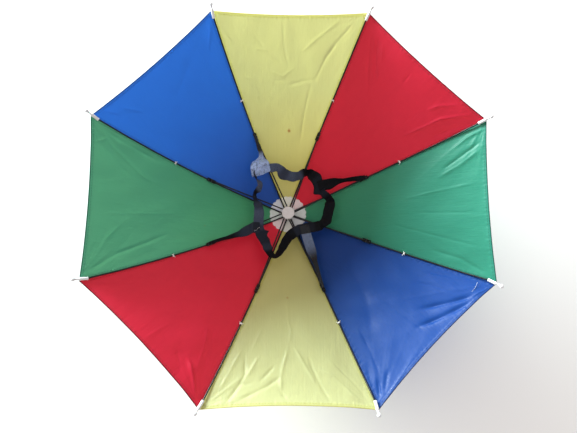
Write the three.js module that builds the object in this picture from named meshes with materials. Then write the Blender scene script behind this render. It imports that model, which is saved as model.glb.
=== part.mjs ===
// Umbrella hat lying upside down: eight cloth gores on eight ribs, with a head band inside.
// Millimetres, +Z up. The crown cap stands on z = 0 and the open side faces up.
import * as THREE from 'three';

// Canopy
const ribCount = 8;
const firstRibAngle = 22.5; // degrees from +X to the first rib
const canopyRadius = 316; // centre to a cloth corner, in plan
const bowlDepth = 124; // rise of the cloth from the centre to a corner
const crownSlope = 0.105; // slope of the cloth at the centre
const clothThickness = 1;
const seamGap = 0.3; // between the edges of two gores
const clothHole = 6; // radius of the hole for the centre post
const hemSag = 4; // how far a hem curves in between two corners
const billowDepth = 4; // how far a gore stands in between two ribs
const billowFrom = 0.08; // share of a gore's length at which it starts to stand in
const billowFull = 0.6; // and at which it stands in fully
const foldHeight = 3;
const foldWidth = 26;
const foldFade = 0.5; // share of its height that a fold loses by its far end
const seamFade = 0.5; // how near a seam the folds start to die out
const stationsAlong = 13;
const stationsAcross = 10;

// Frame
const fitGap = 0.3; // between two pieces that touch
const clothGap = 0.4; // between the cloth and a rib or a tip
const ribRadius = 1.2;
const ribShift = 1.2; // a rib leaves the hub this far beside the radial line
const ribBow = 2.4; // sideways bow of a rib at the middle of its length
const stretcherRadius = 1.1;
const stretcherShift = -2.8; // a stretcher leaves the runner this far beside the radial line
const jointRadius = 133; // centre to a rib joint
const jointLength = 14;
const jointWall = 0.7;
const jointWeb = 0.8;
const jointSkirt = 0.6; // how far a joint's cheeks reach below the middle of the rib
const pinGap = 0.8; // between a stretcher's end and the web of its joint
const stretcherPast = 2; // length of a stretcher past the middle of its joint
const stretcherRoot = 20.6; // height of a stretcher where it leaves the runner
const wireSides = 8;

// Hub
const capRadius = 15;
const capHeight = 5;
const capFootRadius = 11;
const capShoulder = 1; // step in of the cap's side below its widest part
const capFlare = 1 / 3; // share of capHeight at which the shoulder starts, and its own height
const postRadius = 3.5;
const coreRadius = 5.2; // of the notch and of the runner, inside the wire ends
const notchRadius = 9;
const notchPlate = 2;
const runnerRadius = 10;
const runnerPlate = 2;
const runnerFootRadius = 7.5;
const runnerBevel = 0.6;
const rosetteRadius = 30;
const rosetteThickness = 0.6;
const rosetteGap = 0.5; // between the cloth and the rosette
const rosetteRun = 25; // length past the rosette over which a rib comes down to the cloth
const scallopCount = 24;
const scallopDepth = 1.8;
const hubSides = 24;
const postSides = 16;

// Rib tips
const tipSetback = 10; // from a cloth corner back to the start of its tip's sleeve, in plan
const tipOverlap = 4; // length of rib inside a tip
const tipBoreRadius = 1.9;
const boreSpare = 1; // depth of a tip's bore past the rib's end
const sleeveRadius = 2.5;
const sleeveLength = 13;
const neckRadius = 1.3;
const neckTaper = 1.5; // length over which the sleeve narrows to the neck
const tipLength = 24;
const ballRadius = 2.9;
const tipSides = 9;
const tipRoom = 2; // extra room between the cloth and the rib under a tip
const tipRise = 40; // length of rib before its tip over which that room opens

// Head band and tethers
const bandWidth = 17;
const bandThickness = 1.2;
const bandStations = 84;
const bandSpan = 80; // the band's shares of x and y are of this length
const tetherWidth = 12;
const tetherThickness = 1;
const tetherStations = 10;
const strapGap = 0.5; // between a strap and the stretchers that it lies on
const joinGap = 0.8; // between a tether and the band or a joint
const tetherSquare = 0.4; // share of a tether's run over which it turns square to that run
const tetherDrop = 0.6; // share of its run over which it comes down to the stretcher

const turn = Math.PI / 180;
const up = new THREE.Vector3(0, 0, 1);

// One row for each rib: how far its tip is bent sideways, in degrees.
const ribTable = [
  { tipSkew: 2 },
  { tipSkew: -4 },
  { tipSkew: -8 },
  { tipSkew: -7 },
  { tipSkew: -10 },
  { tipSkew: -5 },
  { tipSkew: -10 },
  { tipSkew: -9 },
];

// One row for each gore, counter-clockwise from the first rib: shares of hemSag and billowDepth.
const goreTable = [
  { name: 'panel_red_1', dye: 'red', hem: 0.65, billow: 1.0 },
  { name: 'panel_yellow_1', dye: 'yellow', hem: 0.95, billow: 1.0 },
  { name: 'panel_blue_1', dye: 'blue', hem: 0.8, billow: 1.0 },
  { name: 'panel_green_1', dye: 'green', hem: 0.7, billow: 1.1 },
  { name: 'panel_red_2', dye: 'red', hem: 0.8, billow: 1.2 },
  { name: 'panel_yellow_2', dye: 'yellow', hem: 0.85, billow: 1.0 },
  { name: 'panel_blue_2', dye: 'blue', hem: 0.9, billow: 1.3 },
  { name: 'panel_green_2', dye: 'green', hem: 0.65, billow: 1.1 },
];

// One row for each main fold. Places along are shares of the canopy radius, places across run from
// -1 at a gore's first rib to 1 at its second, and height and width are shares of the named sizes.
const foldTable = [
  { gore: 0, alongA: 0.95, acrossA: -0.75, alongB: 0.62, acrossB: -0.15, height: 0.7, width: 0.8 },
  { gore: 1, alongA: 0.96, acrossA: 0.7, alongB: 0.5, acrossB: 0.2, height: 0.5, width: 0.8 },
  { gore: 2, alongA: 0.96, acrossA: -0.8, alongB: 0.6, acrossB: 0.1, height: 0.5, width: 1.0 },
  { gore: 3, alongA: 0.95, acrossA: -0.75, alongB: 0.55, acrossB: 0.0, height: 0.8, width: 0.8 },
  { gore: 3, alongA: 0.95, acrossA: 0.75, alongB: 0.65, acrossB: 0.3, height: 0.5, width: 0.7 },
  { gore: 4, alongA: 0.95, acrossA: 0.75, alongB: 0.5, acrossB: 0.1, height: 0.9, width: 0.8 },
  { gore: 4, alongA: 0.9, acrossA: -0.4, alongB: 0.6, acrossB: 0.0, height: -0.6, width: 0.9 },
  { gore: 5, alongA: 0.95, acrossA: 0.7, alongB: 0.55, acrossB: 0.1, height: 0.8, width: 0.7 },
  { gore: 6, alongA: 0.95, acrossA: 0.8, alongB: 0.6, acrossB: 0.15, height: 1.0, width: 0.7 },
  { gore: 6, alongA: 0.85, acrossA: 0.3, alongB: 0.55, acrossB: -0.2, height: -0.9, width: 1.0 },
  { gore: 7, alongA: 0.95, acrossA: 0.75, alongB: 0.6, acrossB: 0.0, height: 0.9, width: 0.8 },
  { gore: 7, alongA: 0.9, acrossA: -0.5, alongB: 0.7, acrossB: -0.1, height: 0.5, width: 0.8 },
];

// The head band's loop, clockwise seen from above: x and y are shares of bandSpan, and lean is the
// angle of the band's width above the level, in degrees, rising away from the hub.
const bandTable = [
  { x: -0.36, y: 0.87, lean: 30 },
  { x: -0.22, y: 0.88, lean: 34 },
  { x: -0.08, y: 0.77, lean: 40 },
  { x: 0.07, y: 0.71, lean: 40 },
  { x: 0.21, y: 0.72, lean: 46 },
  { x: 0.35, y: 0.78, lean: 68 },
  { x: 0.48, y: 0.74, lean: 45 },
  { x: 0.58, y: 0.62, lean: 30 },
  { x: 0.63, y: 0.48, lean: 32 },
  { x: 0.7, y: 0.36, lean: 62 },
  { x: 0.8, y: 0.27, lean: 68 },
  { x: 0.83, y: 0.15, lean: 50 },
  { x: 0.8, y: 0.02, lean: 48 },
  { x: 0.77, y: -0.11, lean: 54 },
  { x: 0.7, y: -0.23, lean: 62 },
  { x: 0.59, y: -0.29, lean: 50 },
  { x: 0.46, y: -0.31, lean: 36 },
  { x: 0.32, y: -0.33, lean: 34 },
  { x: 0.19, y: -0.37, lean: 36 },
  { x: 0.07, y: -0.45, lean: 44 },
  { x: -0.02, y: -0.56, lean: 58 },
  { x: -0.09, y: -0.69, lean: 68 },
  { x: -0.16, y: -0.82, lean: 76 },
  { x: -0.25, y: -0.91, lean: 82 },
  { x: -0.35, y: -0.86, lean: 74 },
  { x: -0.41, y: -0.72, lean: 56 },
  { x: -0.47, y: -0.58, lean: 44 },
  { x: -0.54, y: -0.46, lean: 34 },
  { x: -0.58, y: -0.33, lean: 26 },
  { x: -0.59, y: -0.19, lean: 24 },
  { x: -0.58, y: -0.03, lean: 26 },
  { x: -0.6, y: 0.12, lean: 40 },
  { x: -0.66, y: 0.25, lean: 70 },
  { x: -0.66, y: 0.36, lean: 80 },
  { x: -0.58, y: 0.46, lean: 70 },
  { x: -0.57, y: 0.56, lean: 66 },
  { x: -0.65, y: 0.65, lean: 80 },
  { x: -0.65, y: 0.76, lean: 84 },
  { x: -0.55, y: 0.84, lean: 66 },
  { x: -0.46, y: 0.87, lean: 44 },
];

// One row for each tether: where on the band it is sewn (a row of bandTable), the rib that it runs
// to, and how its width leans half way and at the joint, in degrees. It is level at the band.
const tetherTable = [
  { name: 'tether_1', dye: 'elastic', row: 7.6, rib: 0, leanMiddle: 62, leanEnd: 12 },
  { name: 'tether_2', dye: 'tape', row: 38.8, rib: 2, leanMiddle: 40, leanEnd: 12 },
  { name: 'tether_3', dye: 'elastic', row: 28.8, rib: 4, leanMiddle: 34, leanEnd: 12 },
  { name: 'tether_4', dye: 'tape', row: 16.9, rib: 6, leanMiddle: 30, leanEnd: 12 },
];

const finishes = {
  red: { color: 0xc02838, roughness: 0.55, metalness: 0 },
  yellow: { color: 0xd2d087, roughness: 0.55, metalness: 0 },
  blue: { color: 0x2a5ab8, roughness: 0.5, metalness: 0 },
  green: { color: 0x419064, roughness: 0.55, metalness: 0 },
  elastic: { color: 0x17171c, roughness: 0.85, metalness: 0 },
  tape: { color: 0x7d8797, roughness: 0.6, metalness: 0 },
  steel: { color: 0x141516, roughness: 0.4, metalness: 0.6 },
  plastic: { color: 0xeeeeea, roughness: 0.35, metalness: 0 },
  film: { color: 0xe4e6e2, roughness: 0.5, metalness: 0 },
};

function smooth(from, to, x) {
  const t = Math.min(1, Math.max(0, (x - from) / (to - from)));
  return t * t * (3 - 2 * t);
}

// The inner face of the cloth under a rib, as a height over a radius in plan.
const seatHeight = capHeight + fitGap + clothThickness;
const bowlCurve = (bowlDepth - crownSlope * canopyRadius) / canopyRadius ** 2;

function clothHeight(radius) {
  return seatHeight + crownSlope * radius + bowlCurve * radius * radius;
}

function clothSlope(radius) {
  return crownSlope + 2 * bowlCurve * radius;
}

function ribAngle(rib) {
  return (firstRibAngle + (rib * 360) / ribCount) * turn;
}

function ribSideways(radius) {
  const share = radius / canopyRadius;
  return ribShift * (1 - share) + ribBow * Math.sin(Math.PI * share);
}

// A point over the cloth at a rib's line: lift is measured square to the cloth.
function overSeam(rib, radius, lift, sideways = ribSideways(radius)) {
  const tilt = Math.atan(clothSlope(radius));
  const reach = radius - lift * Math.sin(tilt);
  const height = clothHeight(radius) + lift * Math.cos(tilt);
  const point = new THREE.Vector3(reach, sideways, height);
  return point.applyAxisAngle(up, ribAngle(rib));
}

const tipStart = canopyRadius - tipSetback;

// How high a rib's middle lies over the cloth: more over the rosette and under a tip's sleeve.
const rosetteRoom = rosetteThickness + rosetteGap;

function ribLift(radius) {
  const hub = rosetteRoom * (1 - smooth(rosetteRadius, rosetteRadius + rosetteRun, radius));
  const tip = tipRoom * smooth(tipStart - tipRise, tipStart - tipOverlap, radius);
  return ribRadius + clothGap + hub + tip;
}

function ribPoint(rib, radius) {
  return overSeam(rib, radius, ribLift(radius));
}

// Axes at a rib: along it, sideways, and square to the cloth.
function ribFrame(rib, radius) {
  const step = 1;
  const along = ribPoint(rib, radius + step).sub(ribPoint(rib, radius - step)).normalize();
  const sideways = new THREE.Vector3().crossVectors(up, along).normalize();
  const normal = new THREE.Vector3().crossVectors(along, sideways);
  return { along, sideways, normal };
}

const group = new THREE.Group();

function addPiece(name, geometry, finish) {
  const material = new THREE.MeshStandardMaterial(finishes[finish]);
  const mesh = new THREE.Mesh(geometry, material);
  mesh.name = name;
  group.add(mesh);
  return mesh;
}

function solidFrom(points, faces) {
  const geometry = new THREE.BufferGeometry();
  geometry.setFromPoints(points);
  geometry.setIndex(faces.flat());
  return geometry;
}

function quad(a, b, c, d) {
  return [[a, b, c], [a, c, d]];
}

// A wall from two grids of points of the same size: top faces the hollow, bottom faces out.
function wallFrom(top, bottom, rows, columns) {
  const points = [...top, ...bottom];
  const lower = top.length;
  const faces = [];
  const at = (row, column) => row * columns + column;
  for (let row = 0; row + 1 < rows; row += 1) {
    for (let column = 0; column + 1 < columns; column += 1) {
      const a = at(row, column);
      const b = at(row + 1, column);
      const c = at(row + 1, column + 1);
      const d = at(row, column + 1);
      faces.push(...quad(a, b, c, d));
      faces.push(...quad(lower + a, lower + d, lower + c, lower + b));
    }
  }
  for (let row = 0; row + 1 < rows; row += 1) {
    const first = at(row, 0);
    const firstNext = at(row + 1, 0);
    const last = at(row, columns - 1);
    const lastNext = at(row + 1, columns - 1);
    faces.push(...quad(first, lower + first, lower + firstNext, firstNext));
    faces.push(...quad(last, lastNext, lower + lastNext, lower + last));
  }
  for (let column = 0; column + 1 < columns; column += 1) {
    const inner = at(0, column);
    const innerNext = at(0, column + 1);
    const outer = at(rows - 1, column);
    const outerNext = at(rows - 1, column + 1);
    faces.push(...quad(inner, innerNext, lower + innerNext, lower + inner));
    faces.push(...quad(outer, lower + outer, lower + outerNext, outerNext));
  }
  return solidFrom(points, faces);
}

// The middle of a gore's cloth before folds: share runs from the hole to the hem, across from -1 to 1.
function gorePoint(gore, share, across) {
  const hem = canopyRadius - hemSag * goreTable[gore].hem * (1 - across * across);
  const radius = clothHole + (hem - clothHole) * share;
  const start = overSeam(gore, radius, 0);
  const end = overSeam(gore + 1, radius, 0);
  const chord = end.clone().sub(start);
  const length = chord.length();
  const run = seamGap / 2 + ((length - seamGap) * (across + 1)) / 2;
  return start.addScaledVector(chord, run / length);
}

function goreNormal(gore, share, across) {
  const step = 0.01;
  const low = Math.max(0, share - step);
  const high = Math.min(1, share + step);
  const along = gorePoint(gore, high, across).sub(gorePoint(gore, low, across));
  const side = gorePoint(gore, share, across + step).sub(gorePoint(gore, share, across - step));
  return along.cross(side).normalize();
}

// Distance in plan from a point of a gore to a fold's line, and the share of the line passed.
function alongFold(fold, radius, across) {
  const halfGore = Math.tan(Math.PI / ribCount);
  const ax = fold.alongA * canopyRadius;
  const ay = fold.acrossA * ax * halfGore;
  const bx = fold.alongB * canopyRadius;
  const by = fold.acrossB * bx * halfGore;
  const px = radius;
  const py = across * radius * halfGore;
  const length = Math.hypot(bx - ax, by - ay);
  const passed = ((px - ax) * (bx - ax) + (py - ay) * (by - ay)) / length ** 2;
  const near = Math.min(1, Math.max(0, passed));
  const distance = Math.hypot(px - ax - near * (bx - ax), py - ay - near * (by - ay));
  return { distance, passed: near };
}

function goreRelief(gore, share, across) {
  const radius = clothHole + (canopyRadius - clothHole) * share;
  const toSeam = 1 - across * across;
  let relief = billowDepth * goreTable[gore].billow * toSeam * smooth(billowFrom, billowFull, share);
  for (const fold of foldTable.filter((row) => row.gore === gore)) {
    const { distance, passed } = alongFold(fold, radius, across);
    const shape = Math.exp(-((distance / (foldWidth * fold.width)) ** 2));
    const fade = (1 - foldFade * passed) * smooth(0, seamFade, toSeam);
    relief += foldHeight * fold.height * shape * fade;
  }
  return relief;
}

function makeGore(gore) {
  const top = [];
  const bottom = [];
  for (let row = 0; row <= stationsAlong; row += 1) {
    for (let column = 0; column <= stationsAcross; column += 1) {
      const share = row / stationsAlong;
      const across = (2 * column) / stationsAcross - 1;
      const normal = goreNormal(gore, share, across);
      const point = gorePoint(gore, share, across);
      point.addScaledVector(normal, goreRelief(gore, share, across));
      top.push(point);
      bottom.push(point.clone().addScaledVector(normal, -clothThickness));
    }
  }
  const { name, dye } = goreTable[gore];
  addPiece(name, wallFrom(top, bottom, stationsAlong + 1, stationsAcross + 1), dye);
}

// A rib: a bent round wire from the notch into its tip.
function makeRib(rib) {
  const first = coreRadius + 2 * fitGap;
  const last = tipStart + tipOverlap * Math.cos(Math.atan(clothSlope(tipStart)));
  const points = [];
  for (let i = 0; i <= 2 * stationsAlong; i += 1) {
    points.push(ribPoint(rib, first + ((last - first) * i) / (2 * stationsAlong)));
  }
  const section = new THREE.Shape();
  section.absarc(0, 0, ribRadius, 0, 2 * Math.PI);
  const geometry = new THREE.ExtrudeGeometry(section, {
    steps: stationsAlong,
    curveSegments: 3,
    extrudePath: new THREE.CatmullRomCurve3(points),
  });
  addPiece(`rib_${rib + 1}`, geometry, 'steel');
}

// Heights at a rib joint, square to the cloth, from the middle of the rib.
const jointFloor = ribRadius + clothGap;
const stretcherSeat = jointFloor + jointWeb + pinGap + stretcherRadius;
const jointTop = stretcherSeat + stretcherRadius + fitGap;
const jointSlot = ribRadius + clothGap;

function makeJoint(rib) {
  const inner = jointSlot;
  const outer = jointSlot + jointWall;
  const floor = jointFloor;
  const shelf = jointFloor + jointWeb;
  const outline = [
    [-outer, -jointSkirt], [-inner, -jointSkirt], [-inner, floor], [inner, floor],
    [inner, -jointSkirt], [outer, -jointSkirt], [outer, jointTop], [inner, jointTop],
    [inner, shelf], [-inner, shelf], [-inner, jointTop], [-outer, jointTop],
  ];
  const section = new THREE.Shape(outline.map(([x, y]) => new THREE.Vector2(x, y)));
  const geometry = new THREE.ExtrudeGeometry(section, { depth: jointLength, bevelEnabled: false });
  geometry.translate(0, 0, -jointLength / 2);
  const mesh = addPiece(`rib_joint_${rib + 1}`, geometry, 'steel');
  const { along, sideways, normal } = ribFrame(rib, jointRadius);
  mesh.quaternion.setFromRotationMatrix(new THREE.Matrix4().makeBasis(sideways, normal, along));
  mesh.position.copy(ribPoint(rib, jointRadius));
}

// A stretcher: a straight round wire from the runner to its rib joint.
const stretcherInner = coreRadius + 2 * fitGap;

function stretcherEnds(rib) {
  const angle = ribAngle(rib);
  const start = new THREE.Vector3(stretcherInner, stretcherShift, stretcherRoot).applyAxisAngle(up, angle);
  const { normal } = ribFrame(rib, jointRadius);
  const end = ribPoint(rib, jointRadius).addScaledVector(normal, stretcherSeat);
  const direction = end.clone().sub(start).normalize();
  end.addScaledVector(direction, stretcherPast);
  return { start, end, direction };
}

function makeStretcher(rib) {
  const { start, end, direction } = stretcherEnds(rib);
  const length = start.distanceTo(end);
  const geometry = new THREE.CylinderGeometry(stretcherRadius, stretcherRadius, length, wireSides);
  const mesh = addPiece(`stretcher_${rib + 1}`, geometry, 'steel');
  mesh.quaternion.setFromUnitVectors(new THREE.Vector3(0, 1, 0), direction);
  mesh.position.copy(start).add(end).multiplyScalar(0.5);
}

// A turned piece: the profile is a list of [radius, height] that starts and ends on the axis.
function turned(profile, sides) {
  const points = profile.map(([radius, height]) => new THREE.Vector2(radius, height));
  const geometry = new THREE.LatheGeometry(points, sides);
  geometry.rotateX(Math.PI / 2);
  return geometry;
}

// A tip: a sleeve over the rib's end, a neck and a ball, all on one axis.
function makeTip(rib) {
  const bore = tipOverlap + boreSpare;
  const profile = [[0, bore], [tipBoreRadius, bore], [tipBoreRadius, 0], [sleeveRadius, 0]];
  profile.push([sleeveRadius, sleeveLength], [neckRadius, sleeveLength + neckTaper]);
  const ballMiddle = tipLength - ballRadius;
  for (const angle of [-60, -25, 10, 50]) {
    const radius = ballRadius * Math.cos(angle * turn);
    profile.push([radius, ballMiddle + ballRadius * Math.sin(angle * turn)]);
  }
  profile.push([0, tipLength]);
  const geometry = turned(profile, tipSides);
  geometry.translate(0, 0, -tipOverlap / 2);
  const mesh = addPiece(`rib_tip_${rib + 1}`, geometry, 'plastic');
  const middle = tipStart + (tipOverlap / 2) * Math.cos(Math.atan(clothSlope(tipStart)));
  const { along, sideways, normal } = ribFrame(rib, middle);
  const skew = ribTable[rib].tipSkew * turn;
  const axis = along.clone().applyAxisAngle(normal, skew);
  const side = sideways.clone().applyAxisAngle(normal, skew);
  mesh.quaternion.setFromRotationMatrix(new THREE.Matrix4().makeBasis(side, normal, axis));
  mesh.position.copy(ribPoint(rib, middle));
}

// The crown cap stands outside the cloth, on the surface that the hat lies on.
function makeCap() {
  const seat = postRadius + fitGap;
  const rim = capHeight + crownSlope * (capRadius - seat);
  const profile = [[0, 0], [capFootRadius, 0], [capRadius - capShoulder, capHeight * capFlare]];
  profile.push([capRadius, 2 * capHeight * capFlare], [capRadius, rim], [seat, capHeight], [0, capHeight]);
  addPiece('crown_cap', turned(profile, hubSides), 'plastic');
}

const facetReach = 1 / Math.cos(Math.PI / ribCount);
const notchFloor = clothHeight(coreRadius * facetReach) + rosetteGap + rosetteThickness + fitGap;
const notchShelf = ribPoint(0, notchRadius).z + ribRadius + clothGap;
const notchTop = notchShelf + notchPlate;
const wireRise = stretcherEnds(0).direction.z * (runnerRadius - coreRadius);
const runnerShelf = stretcherRoot + wireRise + stretcherRadius + clothGap;
const runnerTop = runnerShelf + runnerPlate;
const postTop = runnerShelf;

function makePost() {
  const floor = capHeight + fitGap;
  const profile = [[0, floor], [postRadius, floor], [postRadius, postTop], [0, postTop]];
  addPiece('centre_post', turned(profile, postSides), 'plastic');
}

const boreRadius = postRadius + fitGap;

function makeNotch() {
  const profile = [
    [boreRadius, notchFloor], [coreRadius, notchFloor], [coreRadius, notchShelf],
    [notchRadius, notchShelf], [notchRadius, notchTop], [boreRadius, notchTop], [boreRadius, notchFloor],
  ];
  addPiece('rib_notch', turned(profile, hubSides), 'plastic');
}

function makeRunner() {
  const floor = notchTop + fitGap;
  const step = stretcherRoot - stretcherRadius - 2 * fitGap;
  const boreTop = postTop + fitGap;
  const profile = [
    [0, boreTop], [boreRadius, boreTop], [boreRadius, floor], [runnerFootRadius, floor],
    [runnerFootRadius, step], [coreRadius, step], [coreRadius, runnerShelf],
    [runnerRadius, runnerShelf], [runnerRadius, runnerTop - runnerBevel],
    [runnerRadius - runnerBevel, runnerTop], [0, runnerTop],
  ];
  addPiece('runner', turned(profile, hubSides), 'plastic');
}

// Height over the gores near the centre, where each gore is a flat facet between two ribs.
function facetHeight(radius, angle) {
  const pitch = (2 * Math.PI) / ribCount;
  const fromRib = angle - firstRibAngle * turn;
  const fromMiddle = fromRib - pitch * Math.floor(fromRib / pitch) - pitch / 2;
  return clothHeight((radius * Math.cos(fromMiddle)) / Math.cos(pitch / 2));
}

// The rosette: a thin film with a scalloped edge that follows the gores under the ribs.
function makeRosette() {
  const stepsPerScallop = 4;
  const columns = scallopCount * stepsPerScallop;
  const rows = 3;
  const top = [];
  const bottom = [];
  for (let row = 0; row < rows; row += 1) {
    for (let column = 0; column < columns; column += 1) {
      const angle = (2 * Math.PI * column) / columns;
      const lobe = Math.abs(Math.sin((angle * scallopCount) / 2));
      const edge = rosetteRadius - scallopDepth * (1 - lobe);
      const radius = boreRadius + ((edge - boreRadius) * row) / (rows - 1);
      const height = facetHeight(radius, angle) + rosetteGap;
      const x = radius * Math.cos(angle);
      const y = radius * Math.sin(angle);
      top.push(new THREE.Vector3(x, y, height + rosetteThickness));
      bottom.push(new THREE.Vector3(x, y, height));
    }
  }
  const lower = top.length;
  const faces = [];
  for (let column = 0; column < columns; column += 1) {
    const next = (column + 1) % columns;
    for (let row = 0; row + 1 < rows; row += 1) {
      const a = row * columns + column;
      const b = (row + 1) * columns + column;
      const c = (row + 1) * columns + next;
      const d = row * columns + next;
      faces.push(...quad(a, b, c, d));
      faces.push(...quad(lower + a, lower + d, lower + c, lower + b));
    }
    const outer = (rows - 1) * columns;
    faces.push(...quad(column, next, lower + next, lower + column));
    faces.push(...quad(outer + column, lower + outer + column, lower + outer + next, outer + next));
  }
  addPiece('rosette', solidFrom([...top, ...bottom], faces), 'film');
}

// What a strap lies on, as a height over the radius: the stretchers, and the joints at their ends.
const stretcherZero = stretcherEnds(0);

function restHeight(radius) {
  const endRadius = Math.hypot(stretcherZero.end.x, stretcherZero.end.y);
  const slope = (stretcherZero.end.z - stretcherRoot) / (endRadius - stretcherInner);
  const wire = stretcherRoot + slope * (radius - stretcherInner) + stretcherRadius / Math.cos(Math.atan(slope));
  const jointRise = jointTop - stretcherSeat;
  return wire + jointRise * smooth(jointRadius - jointLength, jointRadius - jointLength / 2, radius);
}

// The four corners of a strap's section, whose middle is no lower than lowest. Outward is level and
// square to the strap.
function strapCorners(x, y, outward, lean, width, thickness, lowest = 0) {
  const wide = outward.clone().multiplyScalar(Math.cos(lean * turn)).addScaledVector(up, Math.sin(lean * turn));
  const thin = outward.clone().multiplyScalar(-Math.sin(lean * turn)).addScaledVector(up, Math.cos(lean * turn));
  const offsets = [[1, 1], [-1, 1], [-1, -1], [1, -1]].map(([w, t]) => {
    const offset = wide.clone().multiplyScalar((w * width) / 2);
    return offset.addScaledVector(thin, (t * thickness) / 2);
  });
  let height = 0;
  for (const offset of offsets) {
    const radius = Math.hypot(x + offset.x, y + offset.y);
    height = Math.max(height, restHeight(radius) - offset.z);
  }
  const middle = new THREE.Vector3(x, y, Math.max(height + strapGap, lowest));
  return offsets.map((offset) => middle.clone().add(offset));
}

// Joins rows of four section corners into a strap, closed into a loop or ended square. Both wide
// faces are split along the same diagonal, so that a twisted strap keeps its thickness.
function strapFrom(sections, loop) {
  const count = sections.length;
  const faces = [];
  for (let i = 0; i < (loop ? count : count - 1); i += 1) {
    const here = i * 4;
    const there = ((i + 1) % count) * 4;
    faces.push(...quad(here, here + 1, there + 1, there));
    faces.push(...quad(here + 1, here + 2, there + 2, there + 1));
    faces.push(...quad(here + 3, there + 3, there + 2, here + 2));
    faces.push(...quad(here + 3, here, there, there + 3));
  }
  if (!loop) {
    const end = (count - 1) * 4;
    faces.push(...quad(3, 2, 1, 0));
    faces.push(...quad(end, end + 1, end + 2, end + 3));
  }
  return solidFrom(sections.flat(), faces);
}

const bandPlan = bandTable.map(({ x, y }) => new THREE.Vector3(x * bandSpan, y * bandSpan, 0));
const bandCurve = new THREE.CatmullRomCurve3(bandPlan, true, 'centripetal');

function bandLean(row) {
  const low = Math.floor(row);
  const share = smooth(0, 1, row - low);
  const count = bandTable.length;
  return bandTable[low % count].lean * (1 - share) + bandTable[(low + 1) % count].lean * share;
}

function bandOutward(row) {
  const tangent = bandCurve.getTangent((row / bandTable.length) % 1);
  return new THREE.Vector3(-tangent.y, tangent.x, 0).normalize();
}

function bandSection(row) {
  const point = bandCurve.getPoint((row / bandTable.length) % 1);
  return strapCorners(point.x, point.y, bandOutward(row), bandLean(row), bandWidth, bandThickness);
}

function makeBand() {
  const sections = [];
  for (let i = 0; i < bandStations; i += 1) {
    sections.push(bandSection((i * bandTable.length) / bandStations));
  }
  addPiece('head_band', strapFrom(sections, true), 'elastic');
}

// A tether runs from the band's outer edge to the top of its joint.
function makeTether({ name, dye, row, rib, leanMiddle, leanEnd }) {
  const corners = bandSection(row);
  const wide = corners[0].clone().sub(corners[1]).normalize();
  const start = corners[0].clone().add(corners[3]).multiplyScalar(0.5).addScaledVector(wide, joinGap);
  const run = stretcherEnds(rib).end.sub(start).setZ(0);
  const square = new THREE.Vector3(-run.y, run.x, 0).normalize();
  const alongBand = bandOutward(row).applyAxisAngle(up, Math.PI / 2);
  const sections = [];
  for (let i = 0; i <= tetherStations; i += 1) {
    const share = i / tetherStations;
    const middle = leanMiddle * smooth(0, 0.5, share);
    const lean = middle + (leanEnd - leanMiddle) * smooth(0.5, 1, share);
    const side = alongBand.clone().lerp(square, smooth(0, tetherSquare, share)).normalize();
    const lowest = start.z * (1 - smooth(0, tetherDrop, share));
    const x = start.x + run.x * share;
    const y = start.y + run.y * share;
    sections.push(strapCorners(x, y, side, lean, tetherWidth, tetherThickness, lowest));
  }
  addPiece(name, strapFrom(sections, false), dye);
}

for (let index = 0; index < ribCount; index += 1) {
  makeGore(index);
}
for (let index = 0; index < ribCount; index += 1) {
  makeRib(index);
  makeStretcher(index);
  makeJoint(index);
  makeTip(index);
}
makeCap();
makePost();
makeNotch();
makeRunner();
makeRosette();
makeBand();
tetherTable.forEach(makeTether);

export default group;
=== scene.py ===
"""Umbrella hat lying upside down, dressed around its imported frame. Lengths are in millimetres until a
mesh is made, and angles are in degrees."""
import math
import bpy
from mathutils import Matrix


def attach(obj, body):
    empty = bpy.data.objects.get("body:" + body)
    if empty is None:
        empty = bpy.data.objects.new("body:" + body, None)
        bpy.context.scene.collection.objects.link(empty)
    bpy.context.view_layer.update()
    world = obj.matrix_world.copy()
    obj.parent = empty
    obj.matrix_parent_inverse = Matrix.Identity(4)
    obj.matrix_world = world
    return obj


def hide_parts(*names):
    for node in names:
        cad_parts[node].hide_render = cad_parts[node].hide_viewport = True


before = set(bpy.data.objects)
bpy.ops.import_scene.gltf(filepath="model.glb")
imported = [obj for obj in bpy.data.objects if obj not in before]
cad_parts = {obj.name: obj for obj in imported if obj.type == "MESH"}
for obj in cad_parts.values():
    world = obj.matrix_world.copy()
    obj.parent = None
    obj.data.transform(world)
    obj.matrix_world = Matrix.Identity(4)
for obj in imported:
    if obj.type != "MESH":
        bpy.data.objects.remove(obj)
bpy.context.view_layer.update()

from types import SimpleNamespace as Row

import bmesh
import bpy
import numpy as np
from mathutils import Matrix, Vector

MM = 0.001
UP = Vector((0, 0, 1))

# Canopy, as in the solids
RIB_COUNT = 8
FIRST_RIB_ANGLE = 22.5
HALF_GORE = math.pi / RIB_COUNT
CANOPY_RADIUS = 316
BOWL_DEPTH = 124
CROWN_SLOPE = 0.105
CLOTH_HOLE = 6
HEM_SAG = 4
BILLOW_DEPTH = 4
BILLOW_FROM = 0.08
BILLOW_FULL = 0.6
FOLD_HEIGHT = 3
FOLD_WIDTH = 26
FOLD_FADE = 0.5
SEAM_FADE = 0.5
SEAT_HEIGHT = 6.3
BOWL_CURVE = (BOWL_DEPTH - CROWN_SLOPE * CANOPY_RADIUS) / CANOPY_RADIUS ** 2

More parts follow.
